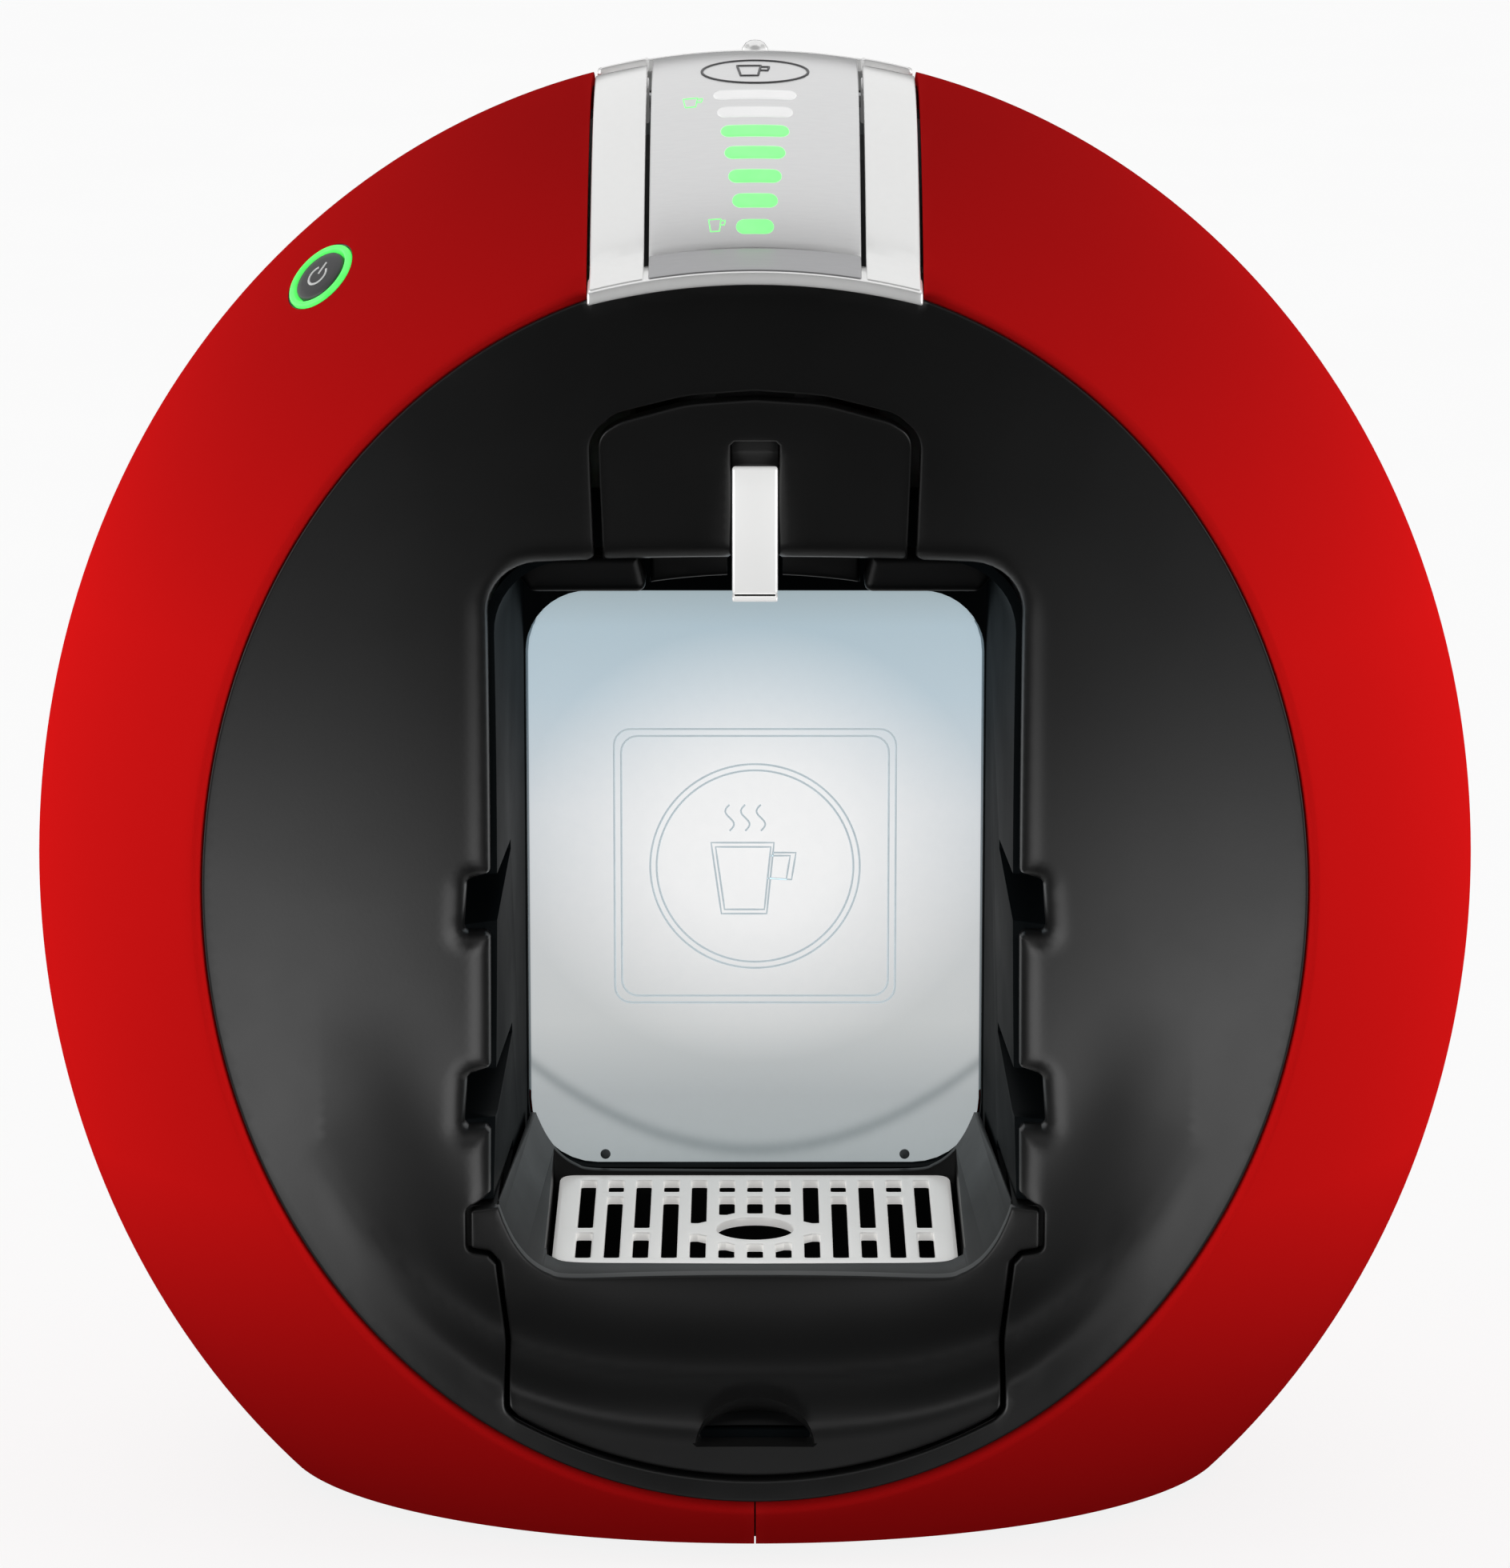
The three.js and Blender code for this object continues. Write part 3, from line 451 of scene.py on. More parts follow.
def face(x, z):
    """The black face: the bowl, with a swelling round the bay, a fold under it and a ridge."""
    x, z = np.asarray(x, float), np.asarray(z, float)
    s = below(x, z, fold_line)
    along = np.clip((86 - np.abs(x)) / 38, 0, 1)
    along = along * along * (3 - 2 * along)
    valley = np.where(s < 0, np.exp(-np.abs(s / 8.0) ** 1.7), np.exp(-(s / 4.2) ** 2))
    swell = np.exp(-((s + 19) / 10.0) ** 2) * (s < 0)
    r = below(x, z, ridge_line)
    along2 = np.clip((76 - np.abs(x)) / 20, 0, 1)
    ridge = np.where(r < 0, np.exp(-(r / 3.4) ** 2), np.exp(-(r / 4.6) ** 2))
    return bowl(x, z) + along * (7.5 * valley - 2.0 * swell) - 2.0 * along2 * ridge


def mark_fold_shade(obj):
    """Notes on each point how far it lies in the fold, where the satin is painted with shade: darker in
    colour, and duller.
    """
    points = np.array([vertex.co for vertex in obj.data.vertices]) * 1000 - SHIFT
    s = below(points[:, 0], points[:, 2], fold_line)
    along = np.clip((90 - np.abs(points[:, 0])) / 20, 0, 1)
    fold_shade = along * np.where(s < 0, np.exp(-np.abs((s + 2) / 9.0) ** 1.5), np.exp(-(s / 2.5) ** 2))
    attribute = obj.data.attributes.new("fold_shade", "FLOAT", "POINT")
    attribute.data.foreach_set("value", fold_shade.astype(np.float32))


# ---- materials ---------------------------------------------------------------------------------


class Nodes:
    """A short way to write a material's nodes."""

    def __init__(self, name):
        self.material = bpy.data.materials.new(name)
        self.material.use_nodes = True
        self.tree = self.material.node_tree
        self.shader = self.tree.nodes["Principled BSDF"]
        self.place = self.new("ShaderNodeTexCoord").outputs["Object"]

    def new(self, kind, **settings):
        node = self.tree.nodes.new(kind)
        for key, value in settings.items():
            setattr(node, key, value)
        return node

    def link(self, source, target):
        self.tree.links.new(source, target)

    def set(self, **values):
        for key, value in values.items():
            self.shader.inputs[key.replace("_", " ")].default_value = value

    def stretch(self, scale):
        node = self.new("ShaderNodeMapping")
        node.inputs["Scale"].default_value = scale
        self.link(self.place, node.inputs["Vector"])
        return node.outputs["Vector"]

    def noise(self, scale, detail=3.0, rough=0.5, where=None):
        node = self.new("ShaderNodeTexNoise")
        node.inputs["Scale"].default_value = scale
        node.inputs["Detail"].default_value = detail
        node.inputs["Roughness"].default_value = rough
        self.link(where or self.place, node.inputs["Vector"])
        return node.outputs["Fac"]

    def ramp(self, source, stops):
        node = self.new("ShaderNodeValToRGB")
        elements = node.color_ramp.elements
        while len(elements) < len(stops):
            elements.new(0.5)
        for element, (position, colour) in zip(elements, stops):
            element.position = position
            element.color = (*colour, 1)
        self.link(source, node.inputs["Fac"])
        return node.outputs["Color"]

    def spread(self, source, low, high, source_low=0.3, source_high=0.7):
        node = self.new("ShaderNodeMapRange")
        node.inputs["From Min"].default_value = source_low
        node.inputs["From Max"].default_value = source_high
        node.inputs["To Min"].default_value = low
        node.inputs["To Max"].default_value = high
        self.link(source, node.inputs["Value"])
        return node.outputs["Result"]

    def math(self, operation, a, b):
        node = self.new("ShaderNodeMath", operation=operation)
        for socket, value in zip(node.inputs, (a, b)):
            if isinstance(value, (int, float)):
                socket.default_value = value
            else:
                self.link(value, socket)
        return node.outputs[0]

    def mix(self, factor, a, b, blend="MIX"):
        node = self.new("ShaderNodeMix", data_type="RGBA", blend_type=blend)
        for socket, value in ((node.inputs[0], factor), (node.inputs[6], a), (node.inputs[7], b)):
            if isinstance(value, (int, float)):
                socket.default_value = value
            elif isinstance(value, tuple):
                socket.default_value = (*value, 1)
            else:
                self.link(value, socket)
        return node.outputs[2]

    def bump(self, height, distance, strength=1.0):
        node = self.new("ShaderNodeBump")
        node.inputs["Distance"].default_value = distance
        node.inputs["Strength"].default_value = strength
        self.link(height, node.inputs["Height"])
        self.link(node.outputs["Normal"], self.shader.inputs["Normal"])

    def worn(self, colour, worn_colour, amount):
        """The colour with rubbed, lighter edges."""
        edge = self.new("ShaderNodeNewGeometry").outputs["Pointiness"]
        mask = self.math("MULTIPLY", self.spread(edge, 0.0, 1.0, 0.52, 0.62), self.noise(260, 4))
        return self.mix(self.math("MULTIPLY", mask, amount), colour, worn_colour)


def moulded(name, light, dark, rough=(0.3, 0.42), grain=900, depth=0.00002, wear=None, wear_amount=0.6,
            **sockets):
    """Moulded plastic, rubber or paint: slow tone changes, a fine skin texture and rubbed edges."""
    n = Nodes(name)
    tone = n.ramp(n.noise(9, 4, 0.6), [(0.3, dark), (0.7, light)])
    if wear:
        tone = n.worn(tone, wear, wear_amount)
    n.link(tone, n.shader.inputs["Base Color"])
    n.link(n.spread(n.noise(35, 5, 0.6), *rough), n.shader.inputs["Roughness"])
    n.bump(n.noise(grain, 3), depth)
    n.set(**sockets)
    return n.material


def satin_material():
    """Black satin plastic with painted shade in the fold of the face: darker in colour there, and duller."""
    n = Nodes("black_satin")
    fold_shade = n.new("ShaderNodeAttribute", attribute_name="fold_shade").outputs["Fac"]
    tone = n.ramp(n.noise(9, 4, 0.6), [(0.3, (0.0110, 0.0110, 0.0112)), (0.7, (0.0135, 0.0135, 0.0135))])
    # Painted shade: along the fold the colour is pulled towards near black.
    tone = n.worn(n.mix(fold_shade, tone, (0.0008, 0.0008, 0.0009)), (0.03, 0.03, 0.03), 0.25)
    n.link(tone, n.shader.inputs["Base Color"])
    satin = n.spread(n.noise(35, 5, 0.6), 0.32, 0.38)
    n.link(n.math("ADD", satin, n.math("MULTIPLY", fold_shade, 0.4)), n.shader.inputs["Roughness"])
    n.bump(n.noise(1300, 3), 0.00001)
    n.set(Specular_IOR_Level=0.5)
    return n.material


def red_material():
    """Red lacquer with painted shade: darker towards the top and the foot of the machine."""
    n = Nodes("red_gloss")
    split = n.new("ShaderNodeSeparateXYZ")
    n.link(n.place, split.inputs[0])
    height = n.spread(split.outputs["Z"], 0.0, 1.0, 0.0, 0.29)
    # Painted shade: this height ramp darkens the red towards the top and the foot, in place of less light
    # falling there.
    deep = n.ramp(height, [(0.0, (0.32, 0.0045, 0.0050)), (0.10, (0.50, 0.0060, 0.0065)),
                           (0.25, (0.86, 0.0095, 0.0095)), (0.62, (0.86, 0.0098, 0.0098)),
                           (0.80, (0.62, 0.0085, 0.009)), (0.95, (0.44, 0.008, 0.0085)),
                           (1.0, (0.42, 0.008, 0.0085))])
    tone = n.mix(n.spread(n.noise(9, 4, 0.6), 0.0, 0.06), deep, (0.30, 0.004, 0.005))
    n.link(n.worn(tone, (0.8, 0.03, 0.03), 0.2), n.shader.inputs["Base Color"])
    n.link(n.spread(n.noise(35, 5, 0.6), 0.30, 0.36), n.shader.inputs["Roughness"])
    n.bump(n.noise(500, 3), 0.000005)
    n.set(Specular_IOR_Level=0.0)
    return n.material


def metal(name, light, dark, rough, brush=(1, 1, 1), grain=700, depth=0.00001, **sockets):
    """Metal whose grain is stretched along the axis with the smallest brush factor."""
    n = Nodes(name)
    where = n.stretch(brush)
    lines = n.noise(grain, 3, 0.6, where)
    tone = n.mix(0.5, n.ramp(lines, [(0.3, dark), (0.7, light)]),
                 n.ramp(n.noise(14, 3), [(0.3, dark), (0.7, light)]))
    n.link(tone, n.shader.inputs["Base Color"])
    n.link(n.spread(lines, *rough), n.shader.inputs["Roughness"])
    n.bump(lines, depth)
    n.set(**{"Metallic": 1.0, **sockets})
    return n.material


def glowing(name, colour, rim, strength):
    """A lit light guide whose colour and glow vary a little at random, with a faint grain."""
    n = Nodes(name)
    tone = n.mix(n.noise(300, 3), colour, rim)
    n.link(tone, n.shader.inputs["Base Color"])
    n.link(tone, n.shader.inputs["Emission Color"])
    n.link(n.spread(n.noise(60, 3), strength * 0.95, strength * 1.05), n.shader.inputs["Emission Strength"])
    n.link(n.spread(n.noise(80, 3), 0.35, 0.5), n.shader.inputs["Roughness"])
    n.bump(n.noise(900, 2), 0.00001)
    return n.material


def board_material():
    n = Nodes("circuit_board")
    tracks = n.new("ShaderNodeTexBrick")
    tracks.inputs["Scale"].default_value = 160
    tracks.inputs["Mortar Size"].default_value = 0.03
    n.link(n.place, tracks.inputs["Vector"])
    tone = n.mix(tracks.outputs["Fac"], (0.012, 0.09, 0.035), (0.05, 0.2, 0.07))
    n.link(tone, n.shader.inputs["Base Color"])
    n.link(n.spread(n.noise(90, 3), 0.3, 0.5), n.shader.inputs["Roughness"])
    n.bump(tracks.outputs["Fac"], 0.00005)
    return n.material


def panel_material():
    """The frosted panel as painted light: an emitted white glow in the middle, bluish above, greyer below,
    and a painted shadow of the tank's round bottom.
    """
    n = Nodes("frosted_glow")
    split = n.new("ShaderNodeSeparateXYZ")
    n.link(n.place, split.inputs[0])
    x, z = split.outputs["X"], split.outputs["Z"]
    height = n.spread(z, 0.0, 1.0, 0.0536, 0.1741)
    # Painted light: the glow's colour by height, bluish above and greyer below.
    painted_light_by_height = n.ramp(height, [(0.0, (0.38, 0.42, 0.43)), (0.12, (0.42, 0.45, 0.46)),
                              (0.25, (0.58, 0.60, 0.60)), (0.42, (0.62, 0.64, 0.65)),
                              (0.62, (0.66, 0.70, 0.73)), (0.82, (0.52, 0.63, 0.70)),
                              (0.94, (0.47, 0.59, 0.66)), (1.0, (0.40, 0.49, 0.53))])
    # Painted light: a white glow round the middle of the panel.
    across = n.math("MULTIPLY", n.math("DIVIDE", x, 0.050), n.math("DIVIDE", x, 0.050))
    up = n.math("DIVIDE", n.math("SUBTRACT", z, 0.121), 0.046)
    radius = n.math("SQRT", n.math("ADD", across, n.math("MULTIPLY", up, up)), 0)
    glow = n.ramp(radius, [(0.0, (1, 1, 1)), (0.35, (0.86, 0.86, 0.86)), (0.75, (0.32, 0.32, 0.32)),
                           (1.0, (0.0, 0.0, 0.0))])
    tone = n.mix(glow, painted_light_by_height, (1.0, 1.0, 1.0))
    # Painted shadow: a thin dark arc where the tank's round bottom shows through the panel.
    bowed = n.math("SUBTRACT", n.math("SUBTRACT", z, 0.0564),
                   n.math("MULTIPLY", n.math("MULTIPLY", x, x), 8.65))
    painted_tank_shadow = n.math("MULTIPLY", n.math("DIVIDE", bowed, 0.0016), n.math("DIVIDE", bowed, 0.0016))
    painted_tank_shadow = n.math("MULTIPLY", n.math("POWER", 2.718, n.math("MULTIPLY", painted_tank_shadow, -1.0)), 0.42)
    tone = n.mix(painted_tank_shadow, tone, (0.10, 0.13, 0.14))
    tone = n.mix(n.spread(n.noise(500, 4), 0.0, 0.05), tone, (0.5, 0.56, 0.6))
    # The panel emits this colour, though no lamp lights it from behind.
    n.link(tone, n.shader.inputs["Emission Color"])
    n.link(n.mix(0.75, tone, (0.1, 0.1, 0.1)), n.shader.inputs["Base Color"])
    n.link(n.spread(n.noise(40, 3), 0.5, 0.62), n.shader.inputs["Roughness"])
    n.bump(n.noise(1400, 4), 0.00003)
    n.set(Emission_Strength=0.86, Specular_IOR_Level=0.2)
    return n.material


def tank_material():
    n = Nodes("clear_tank")
    tone = n.ramp(n.noise(12, 4), [(0.3, (0.72, 0.80, 0.84)), (0.7, (0.84, 0.90, 0.92))])
    n.link(tone, n.shader.inputs["Base Color"])
    n.link(n.spread(n.noise(30, 4), 0.06, 0.14), n.shader.inputs["Roughness"])
    n.bump(n.noise(24, 2), 0.0001)
    n.set(Transmission_Weight=0.85, IOR=1.45)
    return n.material


red = red_material()
black = satin_material()
# Painted shade: a darker, duller copy of the black satin for parts deep in the bay and under the drawer.
painted_shade_black = moulded("painted_shade_black", (0.0040, 0.0043, 0.0046), (0.0028, 0.0030, 0.0032), (0.36, 0.44), 1300,
                      0.000010, (0.01, 0.01, 0.01), 0.3, Specular_IOR_Level=0.25)
liner = moulded("dark_liner", (0.0050, 0.0068, 0.0078), (0.0036, 0.0050, 0.0058), (0.40, 0.50), 1300,
                0.000012, (0.012, 0.015, 0.017), 0.4, Specular_IOR_Level=0.02)
grey = moulded("grey_frame", (0.075, 0.075, 0.08), (0.055, 0.055, 0.06), (0.45, 0.6), 900, 0.00003)
rubber = moulded("black_rubber", (0.014, 0.014, 0.014), (0.009, 0.009, 0.009), (0.75, 0.9), 1200, 0.00006)
pale = moulded("pale_housing", (0.62, 0.68, 0.71), (0.55, 0.61, 0.64), (0.4, 0.55), 1000, 0.00002)
silicone = moulded("silicone_hose", (0.66, 0.62, 0.54), (0.56, 0.52, 0.45), (0.45, 0.6), 900, 0.00002,
                   Subsurface_Weight=0.1, Subsurface_Scale=0.002)
button_grey = moulded("button_grey", (0.062, 0.062, 0.065), (0.050, 0.050, 0.052), (0.4, 0.5), 1200, 0.00001,
                      (0.12, 0.12, 0.12), 0.4)
# Painted shadow: the grey of the marks that stand for the tank's feet seen through the panel.
foot_shadow_grey = moulded("foot_shadow_grey", (0.16, 0.18, 0.19), (0.12, 0.14, 0.15), (0.5, 0.6), 900, 0.00001)
white_ink = moulded("white_ink", (0.86, 0.86, 0.86), (0.78, 0.78, 0.78), (0.4, 0.5), 900, 0.00001)
# Painted light: the chrome trim and the pull give off a faint white glow of their own, which brightens them.
chrome_painted_glow = metal("chrome_trim", (0.96, 0.96, 0.955), (0.92, 0.92, 0.915), (0.14, 0.20), (1, 1, 1), 600,
               0.000002, Metallic=0.5, Emission_Color=(1, 1, 0.99, 1), Emission_Strength=0.09)
pull_chrome_painted_glow = metal("pull_chrome_painted_glow", (0.96, 0.96, 0.955), (0.92, 0.92, 0.915), (0.14, 0.20), (1, 1, 1), 600,
                    0.000002, Metallic=0.35, Emission_Color=(1, 1, 0.99, 1), Emission_Strength=0.44)
brushed = metal("brushed_panel", (0.92, 0.92, 0.92), (0.86, 0.86, 0.865), (0.28, 0.34), (0.05, 1, 1),
                2400, 0.0000015, Metallic=0.7)
# Painted shade: a darker copy of the brushed panel for its sloping front edge.
chamfer_painted_shade = metal("panel_chamfer", (0.50, 0.50, 0.51), (0.44, 0.44, 0.45), (0.28, 0.34), (0.05, 1, 1),
                      2400, 0.0000015, Metallic=0.7)
steel = metal("steel_parts", (0.62, 0.63, 0.64), (0.5, 0.51, 0.52), (0.28, 0.4), (1, 1, 0.2), 900, 0.00001)
# Painted light: the grid gives off a faint white glow of its own, which brightens it.
grid_steel_painted_glow = metal("steel_grid", (0.97, 0.96, 0.94), (0.90, 0.89, 0.87), (0.28, 0.38), (1, 0.08, 1), 1400,
                   0.000004, Metallic=0.35, Emission_Color=(1, 0.99, 0.97, 1), Emission_Strength=0.32)
cast = metal("cast_block", (0.46, 0.47, 0.48), (0.34, 0.35, 0.36), (0.45, 0.6), (1, 1, 1), 500, 0.00012)
badge_ink = metal("badge_ink", (0.16, 0.16, 0.165), (0.11, 0.11, 0.115), (0.3, 0.4), (1, 1, 1), 700, 0.000004)
green = glowing("green_guide", (0.16, 1.0, 0.19), (0.22, 0.95, 0.24), 1.0)
white_light = glowing("white_guide", (0.90, 0.90, 0.90), (0.84, 0.84, 0.84), 0.35)
board = board_material()
frosted = panel_material()
tank_clear = tank_material()

SLOT_MATERIALS = {
    "red_shell": red, "black_satin": black, "dark_liner": liner, "frosted_panel": frosted,
    "brushed_panel": brushed, "green_guide": green, "circuit_board": board, "grey_frame": grey,
    "steel_parts": steel, "steel_grid": grid_steel_painted_glow, "chrome_trim": chrome_painted_glow, "pale_housing": pale,
    "black_rubber": rubber, "cast_block": cast, "silicone_hose": silicone, "button_grey": button_grey,
    "clear_tank": tank_clear,
}


def piece(obj, name, slot_name, body="machine_body", stands_for=(), material=None):
    """Names a finished mesh, paints it and puts it on its body."""
    obj.name = name
    obj.data.name = name
    obj.data.materials.clear()
    obj.data.materials.append(material or SLOT_MATERIALS[slot_name])
    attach(obj, body)
    if stands_for:
        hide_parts(*stands_for)
    return obj


# ---- side shells -------------------------------------------------------------------------------

# The rim is a circle on the body's unit sphere: its axis, and its angle from that axis.
rim_tilt = RIM_LEAN * HALF_HEIGHT / FRONT_DEPTH
rim_length = math.hypot(1, rim_tilt)
RIM_AXIS = np.array([0, -1, rim_tilt]) / rim_length
RIM_UP = np.array([0, rim_tilt, 1]) / rim_length
RIM_ANGLE = math.acos(-(RIM_Y + RIM_LEAN * MID_HEIGHT) / FRONT_DEPTH / rim_length)


def egg_points(angle, turns, inset=0.0, back=BACK_DEPTH):
    """Points of the body at an angle from the rim's axis, for each turn round it."""
    turns = np.atleast_1d(turns)[:, None]
    out = np.array([[1.0, 0, 0]]) * np.cos(turns) + RIM_UP[None] * np.sin(turns)
    d = RIM_AXIS[None] * math.cos(angle) + out * math.sin(angle)
    depth = np.where(d[:, 1] < 0, FRONT_DEPTH, back) - inset
    radii = np.stack([np.full(len(d), HALF_WIDTH - inset), depth, np.full(len(d), HALF_HEIGHT - inset)], 1)
    return d * radii + [0, 0, MID_HEIGHT]


def revolved(name, rows):
    """A closed mesh from rows of points round the rim's axis, whose first and last rows are single points."""
    count = max(len(row) for row in rows)
    points, starts = [], []
    for row in rows:
        starts.append(len(points))
        points.extend(row)
    faces = []
    for k in range(len(rows) - 1):
        for i in range(count):
            j = (i + 1) % count
            a = [starts[k] + (i if len(rows[k]) > 1 else 0), starts[k] + (j if len(rows[k]) > 1 else 0)]
            b = [starts[k + 1] + (j if len(rows[k + 1]) > 1 else 0),
                 starts[k + 1] + (i if len(rows[k + 1]) > 1 else 0)]
            corners = list(dict.fromkeys(a + b))
            if len(corners) > 2:
                faces.append(corners)
    return recalculate(mesh_object(name, points, faces))


def egg_solid(inset, back=BACK_DEPTH, turns=200, bands=110):
    turn_list = np.linspace(0, 2 * math.pi, turns, endpoint=False)
    rows = [egg_points(a, turn_list if 0 < k < bands - 1 else [0.0], inset, back)
            for k, a in enumerate(np.linspace(0, math.pi, bands))]
    return revolved("egg", rows)


LIP_ROUND = 1.1


def shell_rows(turns=288):
    """Rows of the hollow shell: from its back pole to the rolled rim, and back along the inside."""
    turn_list = np.linspace(0, 2 * math.pi, turns, endpoint=False)
    outer = np.linspace(math.pi, RIM_ANGLE + LIP_ROUND / 120, 120)
    rows = [egg_points(outer[0], [0.0])]
    rows += [egg_points(a, turn_list) for a in outer[1:]]
    here = rows[-1]
    ahead = egg_points(outer[-1] - 0.002, turn_list) - here
    ahead /= np.linalg.norm(ahead, axis=1)[:, None]
    normal = np.cross(ahead, egg_points(outer[-1], turn_list + 0.002) - here)
    normal /= np.linalg.norm(normal, axis=1)[:, None]
    normal *= np.sign((normal * (here - [0, 0, MID_HEIGHT])).sum(1))[:, None]
    for roll in (25, 50, 70, 90):
        a = math.radians(roll)
        rows.append(here - normal * LIP_ROUND * (1 - math.cos(a)) + ahead * LIP_ROUND * math.sin(a))
    inner = np.linspace(RIM_ANGLE + 0.004, math.pi, 60)
    rows += [egg_points(a, turn_list, WALL + 0.3) for a in inner[:-1]]
    rows += [egg_points(inner[-1], [0.0], WALL + 0.3)]
    return rows


def surface_normal(point):
    depth = FRONT_DEPTH if point[1] < 0 else BACK_DEPTH
    return Vector((point[0] / HALF_WIDTH ** 2, point[1] / depth ** 2,
                   (point[2] - MID_HEIGHT) / HALF_HEIGHT ** 2)).normalized()


BUTTON = Vector((-83.95, -28.85, 244.14))
BUTTON_AXIS = surface_normal(BUTTON)
GLAND = Vector((-60, 72.9, 18))
GLAND_AXIS = surface_normal(GLAND)


def tank_channel(radius, y0, y1, top, segments=48):
    outline = [(radius, top), (-radius, top)]
    for k in range(segments + 1):
        a = math.pi + math.pi * k / segments
        outline.append((radius * math.cos(a), TANK_MID + radius * math.sin(a)))
    return prism("XZ", outline, y0, y1)


def build_shells():
    rows = shell_rows()
    for side, name in ((-1, "left_shell"), (1, "right_shell")):
        shell = revolved(name, rows)
        cutters = [
            block(-200, 200, -200, 200, -80, 0),
            block(-CHANNEL_HALF, CHANNEL_HALF, -130, 34, 200, 330),
            tank_channel(TANK_RADIUS + 1.5, 33.5, 200, 330),
            block(*((-0.15, 200) if side < 0 else (-200, 0.15)), -200, 200, -80, 330),
        ]
        if side < 0:
            cutters.append(rod(8.0, BUTTON - BUTTON_AXIS * 12, BUTTON + BUTTON_AXIS * 6, 64))
            cutters.append(rod(7.0, GLAND - GLAND_AXIS * 9, GLAND + GLAND_AXIS * 9, 48))
        combine(shell, cutters)
        soften(shell, 30)
        piece(shell, name + "_skin", "red_shell", stands_for=[name])


build_shells()

# ---- face ----------------------------------------------------------------------------------------

LIP_TOP = 250.0
LIP_HALF = 31.5
LIP_DROP = 4.0
LIP_THICK = 2.4
GROOVE = 0.5
RIM_GAP = 1.5


def lip_arc(x, z):
    """The height of the handle's lip above a point, following its arc."""
    return z - LIP_DROP * (np.asarray(x) / LIP_HALF) ** 2


# The line between the tray's front and the face, from the bay's edge down to the bottom centre.
TRAY_SIDE = [(51.6, 65.6, 0), (55.8, 65.2, 1.2), (55.8, 57.0, 1.2), (51.8, 56.4, 1.0), (50.0, 54.4, 1.0),
             (48.3, 38.1, 4), (48.1, 28.2, 2.2)]
TRAY_ARC = (46.0, 26.2, 14.1)


def tray_line():
    side = [tuple(p) for p in TRAY_SIDE] + [(TRAY_ARC[0], TRAY_ARC[1], 2.0)]
    half, edge_z, bottom = TRAY_ARC
    radius = (half ** 2 + (edge_z - bottom) ** 2) / (2 * (edge_z - bottom))
    xs = np.linspace(half * 0.97, 0, 24)
    arc = [(x, bottom + radius - math.sqrt(radius ** 2 - x ** 2), 0) for x in xs]
    ghost = [(20.0, 80.0, 0), (51.6, 80.0, 0)]
    line = rounded(ghost + side + arc, 5)
    return line[2:]


# The arched opening of the capsule drawer, down to the bay's top edge.
def drawer_line(inset):
    side = [(0, 224.9 - inset, 0), (13, 224.0 - inset, 30), (26.8 - inset * 0.6, 220.6 - inset, 7.5),
            (31.7 - inset, 216.2, 6.5), (31.5 - inset, 207, 0), (31.0 - inset, 191.5, 0)]
    return rounded([(-13, 224.0 - inset, 0)] + side + [(20, 150, 0)], 8)[1:-1]


def bay_side():
    """The bay's edge from the drawer to the tray, with a notch at each of the two upper rails."""
    top = 190.3
    line = [(31.0, 191.6, 0), (32.2, top, 0.6), (BAY_FRONT_HALF, top, 15)]
    for low, high in reversed(RAIL_LEVELS[1:]):
        line += [(BAY_FRONT_HALF, high + 0.8, 1.0), (55.4, high - 0.2, 1.0), (56.2, high - 0.8, 1.2),
                 (56.7, low - 0.1, 1.2), (55.9, low - 0.7, 0.6), (52.4, low - 0.9, 0.8),
                 (BAY_FRONT_HALF, low - 1.9, 0.8)]
    line += [(BAY_FRONT_HALF, 67.2, 0.8)]
    return rounded([(10, 191.6, 0)] + line + [(BAY_FRONT_HALF + 2, 66.2, 0)], 8)[1:-1]


def rim_outline(gap, cut_half=None):
    """The rim's ellipse, shrunk by a gap, anticlockwise; its top may be left out between two sides."""
    start = math.pi / 2 if cut_half is None else math.acos(cut_half / (RIM_HALF_WIDTH - gap))
    turns = np.linspace(start - 2 * math.pi, math.pi - start, 420)[::-1] if cut_half else \
        np.linspace(0, 2 * math.pi, 420, endpoint=False)
    return np.stack([(RIM_HALF_WIDTH - gap) * np.cos(turns),
                     RIM_MID + (RIM_HALF_HEIGHT - gap) * np.sin(turns)], 1)


def face_outline():
    half = 32.0
    rim = rim_outline(RIM_GAP, half)
    xs = np.linspace(rim[-1, 0], rim[0, 0], 40)
    under = lip_arc(xs, LIP_TOP - LIP_THICK - 0.6)
    return np.vstack([rim, np.stack([xs, under], 1)[1:-1]])


def tray_opening(grow):
    """The tray's line moved outwards (to the face) or inwards (to the tray)."""
    line = tray_line()
    full = mirrored(line)
    moved = shifted(full, -grow if area(full) > 0 else grow)
    n = len(line)
    return moved[:n]


